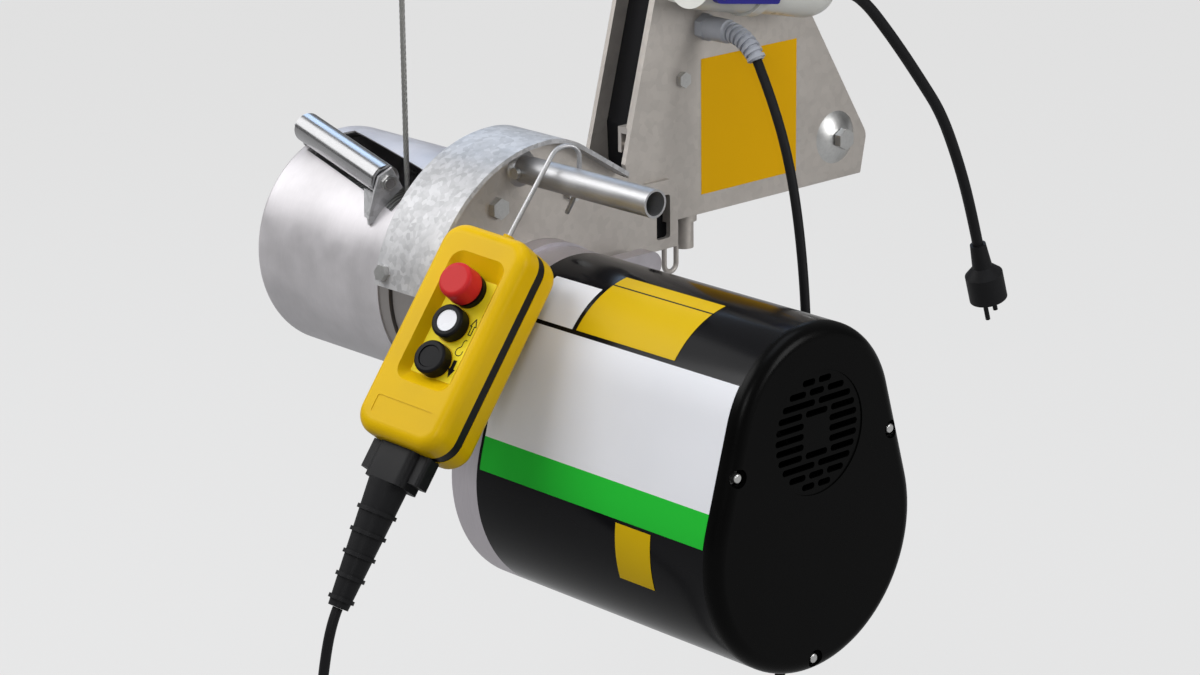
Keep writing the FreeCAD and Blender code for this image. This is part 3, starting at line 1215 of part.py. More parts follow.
def mains_connector():
    """Rounded connector body on the inlet, narrowing to the mains cord."""
    mouth, way = inlet_mouth()
    body_l = CONNECTOR_L - CONNECTOR_NOSE
    shoulder = V(body_l, 0, CONNECTOR_R)
    neck = V(CONNECTOR_L, 0, CONNECTOR_NECK_R)
    nose = Part.Ellipse(neck, shoulder, V(body_l, 0, CONNECTOR_NECK_R))
    end = CONNECTOR_L + CONNECTOR_NECK
    corners = [neck, V(end, 0, CONNECTOR_TIP_R), V(end, 0, 0), V(0, 0, 0), V(0, 0, CONNECTOR_R), shoulder]
    edges = [Part.LineSegment(a, b).toShape() for a, b in zip(corners, corners[1:])]
    edges.append(Part.ArcOfEllipse(nose, 0, math.pi / 2).toShape())
    wire = Part.Wire(Part.__sortEdges__(edges))
    connector = Part.Face(wire).revolve(V(0, 0, 0), X_AXIS, 360)
    connector.Placement = FreeCAD.Placement(mouth, FreeCAD.Rotation(X_AXIS, way))
    save("mains_connector", connector)


# Pendant

def pendant_frame():
    """The pendant's directions: across, along and out of its front."""
    a = math.radians(PENDANT_AZIMUTH)
    e = math.radians(PENDANT_LEAN)
    r = math.radians(PENDANT_ROLL)
    front = V(math.sin(a) * math.cos(e), -math.cos(a) * math.cos(e), math.sin(e))
    level = V(math.cos(a), math.sin(a), 0)
    rise = front.cross(level)
    across = level * math.cos(r) - rise * math.sin(r)
    along = level * math.sin(r) + rise * math.cos(r)
    return across, along, front


def place_pendant(shape):
    w, u, n = pendant_frame()
    p = PENDANT_AT
    matrix = FreeCAD.Matrix(w.x, u.x, n.x, p.x, w.y, u.y, n.y, p.y, w.z, u.z, n.z, p.z, 0, 0, 0, 1)
    shape = shape.copy()
    shape.Placement = FreeCAD.Placement(matrix).multiply(shape.Placement)
    return shape


def rounded_wire(z, width, length, corner, mid_x=0.0, mid_y=0.0):
    x = width / 2
    y = length / 2
    c = corner
    k = c * (1 - math.sqrt(0.5))

    def at(px, py):
        return V(px + mid_x, py + mid_y, z)

    edges = []
    for start, through, stop, line_end in (
            (at(x, y - c), at(x - k, y - k), at(x - c, y), at(-x + c, y)),
            (at(-x + c, y), at(-x + k, y - k), at(-x, y - c), at(-x, -y + c)),
            (at(-x, -y + c), at(-x + k, -y + k), at(-x + c, -y), at(x - c, -y)),
            (at(x - c, -y), at(x - k, -y + k), at(x, -y + c), at(x, y - c))):
        edges.append(Part.Arc(start, through, stop).toShape())
        edges.append(Part.LineSegment(stop, line_end).toShape())
    return Part.Wire(edges)


def rounded_block(inset, low, high):
    wire = rounded_wire(low, PENDANT_W - 2 * inset, PENDANT_L - 2 * inset, PENDANT_CORNER - inset)
    return Part.Face(wire).extrude(V(0, 0, high - low))


def edges_at(shape, z):
    return [e for e in shape.Edges if abs(e.BoundBox.ZMin - z) < PICK and abs(e.BoundBox.ZMax - z) < PICK]


def post(radius, low, high, y, x=BUTTON_X):
    return Part.makeCylinder(radius, high - low, V(x, y, low))


def pendant_shells():
    """Front with its recessed panel, the sealing band, and the back with the hook's boss."""
    front = rounded_block(0, -FRONT_D, 0)
    front = front.makeFillet(FRONT_EDGE, edges_at(front, 0))
    mouth = rounded_wire(PICK, *RECESS)
    front = front.cut(Part.makeLoft([mouth, rounded_wire(-RECESS_D, *PANEL)], True, True))
    front = front.cut(Part.Face(rounded_wire(-FIELD_D, *FIELD)).extrude(V(0, 0, FIELD_D + OVER)))
    front = front.cut(rounded_block(SHELL_T, -FRONT_D - OVER, -RECESS_D - PANEL_T))
    front = front.cut([post(BEZEL_NECK_R + SEAT_FIT, -FRONT_D, OVER, y) for y in BUTTON_ROWS])
    front = front.cut([post(ESTOP_COLLAR_R + FACE_GAP, -RECESS_D, OVER, y) for y in BUTTON_ROWS])
    save("pendant_front", place_pendant(front))

    gasket_low = -FRONT_D - GASKET_T
    gasket = rounded_block(GASKET_INSET, gasket_low, -FRONT_D)
    save("pendant_gasket", place_pendant(gasket.cut(rounded_block(SHELL_T, gasket_low - OVER, 0))))
    back = rounded_block(0, -PENDANT_D, gasket_low)
    back = back.makeFillet(BACK_EDGE, edges_at(back, -PENDANT_D))
    back = back.cut(rounded_block(BACK_EDGE, -PENDANT_D + SHELL_T, gasket_low + OVER))
    crown = PENDANT_L / 2
    way = V(0, 1, 0)
    boss = Part.makeCylinder(HOOK_BOSS_R, HOOK_BOSS_L + OVER, V(HOOK_SIDE, crown - OVER, HOOK_Z), way)
    seat = V(HOOK_SIDE, crown + HOOK_BOSS_L - HOOK_SEAT, HOOK_Z)
    bore = Part.makeCylinder(HOOK_WIRE_R + SEAT_FIT, HOOK_SEAT + OVER, seat, way)
    save("pendant_back", place_pendant(back.fuse(boss).cut(bore)))


def contact_blocks():
    """One switch block behind each button, standing on the back shell."""
    width, length = CONTACT
    floor = -PENDANT_D + SHELL_T
    blocks = []
    for y in BUTTON_ROWS:
        corner = V(BUTTON_X - width / 2, y - length / 2, floor)
        blocks.append(place_pendant(Part.makeBox(width, length, CONTACT_TOP - floor, corner)))
    save("contact_blocks", *blocks)


def buttons():
    """Emergency stop on its collar, and the two push buttons in their bezels."""
    floor = -RECESS_D
    neck_low = floor - BEZEL_NECK_L
    collar_top = floor + ESTOP_COLLAR_H
    collar = post(ESTOP_COLLAR_R, floor, collar_top, ESTOP_Y)
    collar = collar.fuse(post(BEZEL_NECK_R, neck_low, floor, ESTOP_Y))
    stem_bore = post(ESTOP_STEM_R + RUN_FIT, neck_low - OVER, collar_top + OVER, ESTOP_Y)
    bezels = [place_pendant(collar.cut(stem_bore))]
    head_low = collar_top + ESTOP_TRAVEL + FACE_GAP
    head = Part.makeCone(ESTOP_R, ESTOP_TOP_R, ESTOP_H, V(BUTTON_X, ESTOP_Y, head_low))
    head = head.makeFillet(ESTOP_EDGE, edges_at(head, head_low + ESTOP_H))
    stem = post(ESTOP_STEM_R, neck_low - OVER, head_low + OVER, ESTOP_Y)
    save("estop_head", place_pendant(head.fuse(stem).removeSplitter()))

    rim = floor + BEZEL_H
    for name, y in (("up_button", UP_Y), ("down_button", DOWN_Y)):
        ring = post(BEZEL_R, floor, rim, y)
        ring = ring.makeFillet(BEZEL_EDGE, edges_at(ring, rim)).fuse(post(BEZEL_NECK_R, neck_low, floor, y))
        bezels.append(place_pendant(ring.cut(post(BUTTON_R + RUN_FIT, neck_low - OVER, rim + OVER, y))))
        top = rim - BUTTON_SUNK
        button = post(BUTTON_R, top - BUTTON_L, top, y)
        save(name, place_pendant(button.makeFillet(BUTTON_EDGE, edges_at(button, top))))
    save("button_bezels", *bezels)


def neck_box(size, edge):
    """A block under the pendant with rounded upright edges."""
    width, depth, drop = size
    box = Part.makeBox(width, drop, depth, V(-width / 2, -PENDANT_L / 2 - drop, -(PENDANT_D + depth) / 2))
    return box.makeFillet(edge, [e for e in box.Edges if abs(e.BoundBox.YLength - drop) < PICK])


def cable_sleeve():
    """Neck block, its wings and the ringed taper that leads the cord out."""
    start = V(SLEEVE_SHIFT, -PENDANT_L / 2 - NECK_BLOCK[2], -PENDANT_D / 2)
    lean = math.radians(SLEEVE_LEAN)
    way = V(0, -math.cos(lean), -math.sin(lean))
    taper = Part.makeCone(SLEEVE_TOP_R, SLEEVE_END_R, SLEEVE_L + RING_R, start - way * RING_R, way)
    rings = []
    for k in range(SLEEVE_RINGS):
        down = RING_FIRST + k * RING_PITCH
        r = SLEEVE_TOP_R + (SLEEVE_END_R - SLEEVE_TOP_R) * down / SLEEVE_L
        rings.append(Part.makeCylinder(r + RING_R, RING_W, start + way * (down - RING_R), way))
    block = neck_box(NECK_BLOCK, NECK_EDGE)
    save("cable_sleeve", place_pendant(block.fuse([neck_box(WING, WING_EDGE), taper] + rings)))


def pendant_hook():
    """Wire from its boss on the pendant, over the handle tube and down close behind it."""
    across, along, front = pendant_frame()
    top = PENDANT_AT + across * HOOK_SIDE + along * (PENDANT_L / 2) + front * HOOK_Z
    bend = V(HOOK_FRONT_X, HANDLE_Y - HOOK_FRONT_Y, HANDLE_Z + HOOK_FRONT_RISE)
    back = V(HOOK_BACK_X, HANDLE_Y + HANDLE_R + FACE_GAP + HOOK_WIRE_R, HANDLE_Z + HOOK_BACK_RISE)
    tail = [back + V(x, 0, z) for x, z in HOOK_TAIL]
    start = [top + along * (HOOK_BOSS_L - HOOK_SEAT), top + along * HOOK_RISE]
    path, radii = cord_path(start + [bend, back] + tail)
    save("pendant_hook", sweep(path, HOOK_WIRE_R))


# Rope end

def rope_eye():
    """Ferrule and eye that close the rope's end."""
    low = V(ROPE_X, ROPE_Y, ROPE_TOP)
    ferrule = rod(FERRULE_R, low, low + V(0, 0, FERRULE_L))
    loop = Part.makeTorus(LOOP_R, ROPE_D / 2, low + V(0, 0, FERRULE_L + LOOP_R), X_AXIS)
    save("rope_eye", ferrule.fuse(loop))


def snap_hook():
    """Bent snap hook in the rope's eye, with a sprung gate on a pin."""
    loop_top = ROPE_TOP + FERRULE_L + 2 * LOOP_R
    low_z = loop_top - ROPE_D / 2 - FACE_GAP - SNAP_BAR_R + SNAP_HALF
    high_z = low_z + SNAP_L
    side = SNAP_HALF

    def at(dx, z, dy=0.0):
        return V(ROPE_X + dx, ROPE_Y + dy, z)

    path = Part.Wire([Part.LineSegment(at(side, low_z + SNAP_STUB), at(side, low_z)).toShape(),
                      Part.Arc(at(side, low_z), at(0, low_z - side), at(-side, low_z)).toShape(),
                      Part.LineSegment(at(-side, low_z), at(-side, high_z)).toShape(),
                      Part.Arc(at(-side, high_z), at(0, high_z + side), at(side, high_z)).toShape(),
                      Part.LineSegment(at(side, high_z), at(side, high_z - SNAP_STUB)).toShape()])
    hinge_z = low_z + HINGE_UP
    half = TONGUE_W / 2
    ear_in = half + FACE_GAP
    ear_out = ear_in + EAR_T
    ears = [rod(EAR_R, at(side, hinge_z, -ear_out), at(side, hinge_z, -ear_in)),
            rod(EAR_R, at(side, hinge_z, ear_in), at(side, hinge_z, ear_out))]
    pin = rod(GATE_PIN_R, at(side, hinge_z, -ear_out), at(side, hinge_z, ear_out))
    save("snap_hook", sweep(path, SNAP_BAR_R).fuse(ears + [pin]))

    bar = rod(GATE_R, at(side, hinge_z + GATE_FOOT), at(side, high_z - SNAP_STUB - GATE_GAP))
    tongue = rod(TONGUE_R, at(side, hinge_z, -half), at(side, hinge_z, half))
    link = Part.makeBox(LINK_W, TONGUE_W, GATE_FOOT + LINK_IN, at(side - LINK_W / 2, hinge_z, -half))
    eye = rod(GATE_PIN_R + RUN_FIT, at(side, hinge_z, -ear_out), at(side, hinge_z, ear_out))
    save("hook_gate", bar.fuse([tongue, link]).cut(eye))


rim_flange()
frame_plate()
carrying_handle()
frame_bolts()
bracket_plates()
bracket_web()
bracket_bolts()
switch_box()
stay_rod()
drum_casing()
guide_roller()
roller_mounting()
rope_drum()
gear_case()
gearbox_housing()
drum_gears()
gearbox_gears()
bearings()
motor_shield()
motor()
fan()
motor_cover()
end_cap()
cap_screws()
cable_gland()
power_inlet()
mains_connector()
cord("control_cord", CONTROL_ROUTE, CORD_D)
cord("mains_cord", MAINS_ROUTE, MAINS_D)
mains_plug()
pendant_shells()
contact_blocks()
buttons()
cable_sleeve()
pendant_hook()
rope_eye()
snap_hook()
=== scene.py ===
import math

import bpy
from bpy.props import FloatProperty, FloatVectorProperty, IntProperty, PointerProperty
from mathutils import Matrix, Vector


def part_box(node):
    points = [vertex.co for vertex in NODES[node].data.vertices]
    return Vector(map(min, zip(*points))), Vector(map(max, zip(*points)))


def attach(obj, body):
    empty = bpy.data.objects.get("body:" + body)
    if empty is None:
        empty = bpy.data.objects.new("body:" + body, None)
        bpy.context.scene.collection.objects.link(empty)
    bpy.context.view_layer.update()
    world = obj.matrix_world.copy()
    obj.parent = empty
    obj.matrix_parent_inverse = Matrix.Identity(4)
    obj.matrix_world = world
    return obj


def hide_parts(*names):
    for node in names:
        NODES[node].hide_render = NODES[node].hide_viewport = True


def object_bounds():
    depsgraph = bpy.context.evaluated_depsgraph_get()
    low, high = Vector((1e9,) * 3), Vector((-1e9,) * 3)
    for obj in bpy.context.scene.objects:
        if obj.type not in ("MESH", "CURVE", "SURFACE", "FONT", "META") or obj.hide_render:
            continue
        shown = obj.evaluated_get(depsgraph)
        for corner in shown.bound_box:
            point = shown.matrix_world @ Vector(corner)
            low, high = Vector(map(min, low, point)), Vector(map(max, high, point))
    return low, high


bl_info = {
    "name": "Rope winch looks",
    "version": (1, 0, 0),
    "blender": (4, 5, 0),
    "location": "View3D > Sidebar > Winch",
    "description": "Finishes, cords, labels and studio for a scaffold rope winch",
    "category": "Object",
}

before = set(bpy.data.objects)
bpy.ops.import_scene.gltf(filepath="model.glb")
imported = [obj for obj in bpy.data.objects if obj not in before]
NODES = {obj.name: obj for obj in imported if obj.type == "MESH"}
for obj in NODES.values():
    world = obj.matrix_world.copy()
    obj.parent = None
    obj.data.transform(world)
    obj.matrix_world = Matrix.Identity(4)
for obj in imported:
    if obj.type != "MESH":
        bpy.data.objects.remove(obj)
CAD_BOX = [[float(v) for v in corner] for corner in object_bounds()]

# Places are measured in millimetres from the drum axis and the rim flange's near edge.
DRUM_LOW, DRUM_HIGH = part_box("rope_drum")
RIM_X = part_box("rim_flange")[1].x
DRUM_Y = (DRUM_LOW.y + DRUM_HIGH.y) / 2
DRUM_Z = (DRUM_LOW.z + DRUM_HIGH.z) / 2
MM = 0.001

# Cord routes, as in the part's source
CONTROL_ROUTE = [
    (46.4, 212.0, 185.0), (66.4, 212.0, 150.4), (87.0, 212.0, 100.0), (101.0, 212.0, 38.0),
    (110.0, 212.0, -40.0), (112.5, 211.0, -135.0), (112.0, 209.0, -240.0), (110.0, 207.0, -330.0),
    (103.0, 180.0, -404.0), (92.0, 120.0, -452.0), (81.0, 28.0, -472.0), (69.0, -75.0, -474.0),
    (61.0, -172.0, -456.0), (55.0, -250.0, -412.0), (52.5, -297.0, -356.0), (50.0, -311.2, -300.0),
    (49.7, -304.9, -254.4), (49.7, -294.9, -215.3), (49.7, -287.3, -202.7)]
MAINS_ROUTE = [
    (15.0, 346.2, 225.4), (15.0, 367.7, 220.8), (15.0, 390.2, 204.4), (15.0, 412.4, 181.4),
    (15.0, 437.8, 153.2), (15.0, 466.1, 119.5), (15.0, 495.0, 83.8), (15.0, 518.6, 37.5),
    (15.0, 539.6, -14.4), (15.0, 553.5, -60.2)]

# Camera, from the photograph's lines
CAMERA_BACK = Vector((0.70479, -0.64446, 0.29654))
CAMERA_RIGHT = Vector((0.67733, 0.73559, -0.01117))
CAMERA_UP = Vector((-0.21094, 0.20873, 0.95495))
CAMERA_AT = (2183.9, -1937.7, 866.6)
CAMERA_LENS = 103.35
SENSOR_WIDTH = 36.0
CLIP_END = 100.0

# The pendant's own frame: across, along, out of the front
PENDANT_AT = (55.1, -173.0, 14.5)
PENDANT_AZIMUTH = math.radians(14.0)
PENDANT_LEAN = math.radians(37.0)
PENDANT_ROLL = math.radians(7.3)

# Film and marks on the pendant's panel, in its frame
PANEL_DEPTH = 11.0
PANEL_FILM = (43.4, 93.4, 2.5, 10.5)    # width, length, middle
BUTTON_LINE = 1.3
BUTTON_ROWS = (44.5, 12.2, -21.8)
FILM_OPENING = 16.1
ARROW_LENGTH = 16.0
ARROW_WIDTH = 7.0
MARK_LINE = 0.8
MARK_HEIGHT = 0.25
HOOK_LINE = [(2.6, 8.0), (0.2, 8.2), (-0.4, 4.5), (0.0, 1.5), (-3.4, -0.5), (-3.8, -5.6), (0.4, -7.2),
             (3.4, -4.6), (2.8, -1.8)]

UP_ARROW_AT = (20.5, 16.2)
HOOK_MARK_AT = (18.8, -4.5)
DOWN_ARROW_AT = (19.4, -23.5)
OPENING_DEPTH = 10.0
OPENING_CORNERS = 64

# Films on the motor cover: range along X, low and high point of its section, columns and rows of the grid
LARGE_LABEL = ((37.0, 313.0), (-117.0, -125.0), (-75.0, 5.0), 40, 40)
SMALL_LABEL = ((52.0, 110.0), (-72.0, 7.0), (-38.0, 36.0), 12, 14)
TOP_LABEL = ((115.0, 235.0), (-72.0, 7.0), (-14.0, 42.5), 20, 20)
LOW_LABEL = ((210.0, 252.0), (-112.0, -178.0), (-117.0, -128.0), 10, 14)
STAND_OFF = 60.0            # of a flat film before it is drawn to the cover
STRIPE = (-200.0, -96.0)    # heights of the large film's stripe
TOP_LINE = (-30.0, -28.4)   # places of the top film's line along Y
BRACKET_LABEL = ((209.0, 48.0), (334.0, 176.0))
FILM_EDGE = 0.1
FILM_SMOOTH = math.radians(40)

# Hoist rope
STRAND_CORNERS = 6
STRAND_GROOVE = 0.86        # radius between two strands, as a share of the rope's
STEPS_PER_TURN = 24
ROPE_SMOOTH = math.radians(50)
WAVE_FACTOR = 20            # the Wave texture's own factor on its scale

# Share of the floor's even tone, seen directly and in reflections
SEEN_GLOW = 0.72
MIRRORED_GLOW = 0.36
FLOOR_SIZE = 60.0

# World: strength, and brightness from the horizon to a height
SKY_STRENGTH = 0.42
SKY_HEIGHTS = (0.0, 0.9)
SKY_TONES = (0.25, 1.0)

# Soft lights: place from the point they aim at, size, watts and tint
AIM = (60, 20, -20)
WHITE_LIGHT = (1.0, 1.0, 1.0)
LIGHTS = (
    ("key_softbox", (-0.9, -1.6, 1.9), (1.8, 1.4), 38.0, WHITE_LIGHT),
    ("left_softbox", (-1.75, -0.85, 1.25), (1.7, 1.6), 14.5, WHITE_LIGHT),
    ("back_softbox", (-1.7, 1.2, 1.4), (1.6, 0.6), 7.0, (0.5, 0.7, 1.0)),
    ("top_softbox", (0.3, 0.2, 2.2), (1.6, 1.0), 12.0, (0.86, 0.91, 1.0)),
    ("side_softbox", (2.3, 0.9, 0.8), (0.9, 1.2), 25.0, WHITE_LIGHT),
    ("front_softbox", (1.6, -1.8, 1.1), (0.7, 0.7), 13.0, WHITE_LIGHT))


def at(x, y, z):
    """A point of the winch in metres, from millimetres at the drum axis."""
    return Vector((RIM_X + x * MM, DRUM_Y + y * MM, DRUM_Z + z * MM))


def pendant_matrix():
    """Turns and moves from the pendant's own frame to the winch's."""
    a, e, r = PENDANT_AZIMUTH, PENDANT_LEAN, PENDANT_ROLL
    front = Vector((math.sin(a) * math.cos(e), -math.cos(a) * math.cos(e), math.sin(e)))
    level = Vector((math.cos(a), math.sin(a), 0.0))
    rise = front.cross(level)
    across = level * math.cos(r) - rise * math.sin(r)
    along = level * math.sin(r) + rise * math.cos(r)
    matrix = Matrix((across, along, front)).transposed().to_4x4()
    matrix.translation = at(*PENDANT_AT)
    return matrix


# Shader building blocks

def group_input(tree, name, kind, value):
    socket = tree.interface.new_socket(name, in_out="INPUT", socket_type=kind)
    socket.default_value = value


def group_output(tree, name, kind):
    tree.interface.new_socket(name, in_out="OUTPUT", socket_type=kind)


def new_group(name):
    tree = bpy.data.node_groups.new(name, "ShaderNodeTree")
    return tree, tree.nodes.new("NodeGroupInput"), tree.nodes.new("NodeGroupOutput")


def stretched_noise_group():
    """Two noises on Object coordinates, one broad and one fine, stretched along chosen axes."""
    tree, start, end = new_group("stretched_noise")
    group_input(tree, "Stretch", "NodeSocketVector", (1.0, 1.0, 1.0))
    group_input(tree, "Broad Scale", "NodeSocketFloat", 12.0)
    group_input(tree, "Fine Scale", "NodeSocketFloat", 160.0)
    group_output(tree, "Broad", "NodeSocketFloat")
    group_output(tree, "Fine", "NodeSocketFloat")
    place = tree.nodes.new("ShaderNodeTexCoord")
    mapping = tree.nodes.new("ShaderNodeMapping")
    tree.links.new(place.outputs["Object"], mapping.inputs["Vector"])
    tree.links.new(start.outputs["Stretch"], mapping.inputs["Scale"])
    for name, detail in (("Broad", 4.0), ("Fine", 6.0)):
        noise = tree.nodes.new("ShaderNodeTexNoise")
        noise.inputs["Detail"].default_value = detail
        tree.links.new(mapping.outputs["Vector"], noise.inputs["Vector"])
        tree.links.new(start.outputs[name + " Scale"], noise.inputs["Scale"])
        tree.links.new(noise.outputs["Fac"], end.inputs[name])
    return tree


def spangle_group():
    """Zinc crystals of a galvanised sheet: flat cells with their own shade, broken up by cloudy noise."""
    tree, start, end = new_group("zinc_spangle")
    group_input(tree, "Cell Scale", "NodeSocketFloat", 90.0)
    group_input(tree, "Cloud Scale", "NodeSocketFloat", 18.0)
    group_output(tree, "Shade", "NodeSocketFloat")
    place = tree.nodes.new("ShaderNodeTexCoord")
    cells = tree.nodes.new("ShaderNodeTexVoronoi")
    cloud = tree.nodes.new("ShaderNodeTexNoise")
    cloud.inputs["Detail"].default_value = 7.0
    cloud.inputs["Roughness"].default_value = 0.62
    mix = tree.nodes.new("ShaderNodeMix")
    mix.inputs["Factor"].default_value = 0.68
    split = tree.nodes.new("ShaderNodeSeparateColor")
    for node, scale in ((cells, "Cell Scale"), (cloud, "Cloud Scale")):
        tree.links.new(place.outputs["Object"], node.inputs["Vector"])
        tree.links.new(start.outputs[scale], node.inputs["Scale"])
    tree.links.new(cells.outputs["Color"], split.inputs["Color"])
    tree.links.new(split.outputs["Red"], mix.inputs["A"])
    tree.links.new(cloud.outputs["Fac"], mix.inputs["B"])
    tree.links.new(mix.outputs["Result"], end.inputs["Shade"])
    return tree


class Finish:
    """One material with its Principled shader, and short ways to feed the shader from patterns."""

    def __init__(self, name, metallic=0.0, **constants):
        self.material = bpy.data.materials.new(name)
        self.material.use_nodes = True
        self.nodes = self.material.node_tree.nodes
        self.links = self.material.node_tree.links
        self.shader = self.nodes["Principled BSDF"]
        self.shader.inputs["Metallic"].default_value = metallic
        for socket, value in constants.items():
            self.shader.inputs[socket.replace("_", " ")].default_value = value

    def group(self, tree, **values):
        node = self.nodes.new("ShaderNodeGroup")
        node.node_tree = tree
        for socket, value in values.items():
            node.inputs[socket.replace("_", " ")].default_value = value
        return node

    def remap(self, value, low, high, start=0.3, stop=0.7):
        node = self.nodes.new("ShaderNodeMapRange")
        node.inputs["From Min"].default_value = start
        node.inputs["From Max"].default_value = stop
        node.inputs["To Min"].default_value = low
        node.inputs["To Max"].default_value = high
        self.links.new(value, node.inputs["Value"])
        return node.outputs["Result"]

    def mix(self, factor, first, second):
        """Mixes two colours, each a colour value or another node's output."""
        node = self.nodes.new("ShaderNodeMix")
        node.data_type = "RGBA"
        self.links.new(factor, node.inputs["Factor"])
        for socket, colour in ((node.inputs[6], first), (node.inputs[7], second)):
            if isinstance(colour, bpy.types.NodeSocket):
                self.links.new(colour, socket)
            else:
                socket.default_value = (*colour, 1.0)
        return node.outputs[2]

    def band(self, axis, low, high):
        """1 where the Object coordinate lies between two heights."""
        place = self.nodes.new("ShaderNodeTexCoord")
        split = self.nodes.new("ShaderNodeSeparateXYZ")
        self.links.new(place.outputs["Object"], split.inputs["Vector"])
        above = self.nodes.new("ShaderNodeMath")
        above.operation = "GREATER_THAN"
        above.inputs[1].default_value = low
        below = self.nodes.new("ShaderNodeMath")
        below.operation = "LESS_THAN"
        below.inputs[1].default_value = high
        both = self.nodes.new("ShaderNodeMath")
        both.operation = "MULTIPLY"
        for test, socket in ((above, both.inputs[0]), (below, both.inputs[1])):
            self.links.new(split.outputs[axis], test.inputs[0])
            self.links.new(test.outputs["Value"], socket)
        return both.outputs["Value"]

    def colour(self, output):
        self.links.new(output, self.shader.inputs["Base Color"])

    def rough(self, output):
        self.links.new(output, self.shader.inputs["Roughness"])

    def bump(self, height, strength, distance):
        node = self.nodes.new("ShaderNodeBump")
        node.inputs["Strength"].default_value = strength
        node.inputs["Distance"].default_value = distance
        self.links.new(height, node.inputs["Height"])
        self.links.new(node.outputs["Normal"], self.shader.inputs["Normal"])


def shades(colour, spread):
    """A darker and a lighter form of a colour."""
    return [c * (1 - spread) for c in colour], [min(1.0, c * (1 + spread)) for c in colour]


def sheet_finish(name, colour, spangle, noise, spread, rough, metallic, cell=140.0, cloud=26.0):
    """Galvanised sheet with zinc crystals, cloudy shine and faint scratches."""
    finish = Finish(name, metallic=metallic)
    cells = finish.group(spangle, Cell_Scale=cell, Cloud_Scale=cloud)
    marks = finish.group(noise, Stretch=(1.0, 1.0, 5.0), Broad_Scale=11.0, Fine_Scale=240.0)
    dark, light = shades(colour, spread)
    finish.colour(finish.mix(finish.remap(cells.outputs["Shade"], 0.0, 1.0), dark, light))
    finish.rough(finish.remap(marks.outputs["Broad"], *rough))
    finish.bump(marks.outputs["Fine"], 0.08, 0.0003)
    return finish.material


def turned_finish(name, colour, noise, stretch, rough, spread=0.06, cloud=0.08, metallic=0.95):
    """Bare metal with fine lines along the way it was rolled, drawn or turned, and cloudy patches."""
    finish = Finish(name, metallic=metallic)
    lines = finish.group(noise, Stretch=stretch, Broad_Scale=6.0, Fine_Scale=60.0)
    patches = finish.group(noise, Broad_Scale=24.0, Fine_Scale=90.0)
    streak = finish.remap(lines.outputs["Fine"], 0.0, 1.0)
    drawn = finish.mix(streak, *shades(colour, spread))
    worn = finish.mix(streak, *shades([c * (1 - cloud) for c in colour], spread))
    finish.colour(finish.mix(finish.remap(patches.outputs["Broad"], 0.0, 1.0), worn, drawn))
    finish.rough(finish.remap(patches.outputs["Broad"], *rough))
    finish.bump(lines.outputs["Fine"], 0.06, 0.0002)
    return finish.material


def plastic_finish(name, colour, noise, rough, grain, coat=0.0, specular=0.4):
    """Moulded plastic, paint or rubber: slight colour drift, uneven gloss and a fine grain."""
    finish = Finish(name, Coat_Weight=coat, Coat_Roughness=0.12, Specular_IOR_Level=specular)
    drift = finish.group(noise, Broad_Scale=16.0, Fine_Scale=900.0)
    dark, light = shades(colour, 0.05)
    finish.colour(finish.mix(finish.remap(drift.outputs["Broad"], 0.0, 1.0), dark, light))
    finish.rough(finish.remap(drift.outputs["Broad"], rough * 0.88, rough * 1.14))
    finish.bump(drift.outputs["Fine"], grain, 0.0002)
    return finish.material


def label_finish(name, colour, noise, band_colour=None, axis="Z", low=0.0, high=0.0):
    """Printed film without print: one colour, or two where it carries a stripe."""
    finish = Finish(name, Specular_IOR_Level=0.09)
    drift = finish.group(noise, Broad_Scale=8.0, Fine_Scale=500.0)
    dark, light = shades(colour, 0.025)
    base = finish.mix(finish.remap(drift.outputs["Broad"], 0.0, 1.0), dark, light)
    if band_colour:
        base = finish.mix(finish.band(axis, low, high), base, band_colour)
    finish.colour(base)
    finish.rough(finish.remap(drift.outputs["Broad"], 0.34, 0.46))
    finish.bump(drift.outputs["Fine"], 0.04, 0.0001)
    return finish.material


def winding_finish(name, colour, noise, pitch):
    """Wire rope laid side by side: round ridges at the rope's pitch along the drum, with painted shade in the
    grooves and a painted highlight on the ridges.
    """
    finish = Finish(name, metallic=0.9)
    place = finish.nodes.new("ShaderNodeTexCoord")
    wave = finish.nodes.new("ShaderNodeTexWave")
    wave.wave_profile = "SIN"
    wave.inputs["Scale"].default_value = math.tau / pitch / WAVE_FACTOR
    finish.links.new(place.outputs["Object"], wave.inputs["Vector"])
    drift = finish.group(noise, Broad_Scale=30.0, Fine_Scale=700.0)
    # Dark and light follow the ridges: painted shade in the grooves between turns, painted highlight on the
    # ridge tops.
    dark, light = shades(colour, 0.35)
    finish.colour(finish.mix(wave.outputs["Fac"], dark, light))
    finish.rough(finish.remap(drift.outputs["Broad"], 0.4, 0.6))
    finish.bump(wave.outputs["Fac"], 0.9, 0.002)
    return finish.material


def dress(material, *names):
    for name in names:
        slots = NODES[name].data.materials
        slots.clear()
        slots.append(material)


# Modelling helpers

def start_object(add, name, **settings):
    """Adds a primitive with nothing else selected and gives it its name."""
    bpy.ops.object.select_all(action="DESELECT")
    add(**settings)
    obj = bpy.context.object
    obj.name = name
    obj.data.name = name
    return obj


def apply_modifier(obj, kind, **settings):
    modifier = obj.modifiers.new(kind.title(), kind)
    for key, value in settings.items():
        setattr(modifier, key, value)
    bpy.context.view_layer.objects.active = obj
    bpy.ops.object.modifier_apply(modifier=modifier.name)


def settle(obj, matrix=None):
    """Moves the object by a matrix and puts its place into its mesh."""
    if matrix is not None:
        obj.matrix_world = matrix @ obj.matrix_world
    bpy.ops.object.select_all(action="DESELECT")
    obj.select_set(True)
    bpy.context.view_layer.objects.active = obj
    bpy.ops.object.transform_apply(location=True, rotation=True, scale=True)


def finish_piece(obj, material, body):
    obj.data.materials.clear()
    obj.data.materials.append(material)
    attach(obj, body)


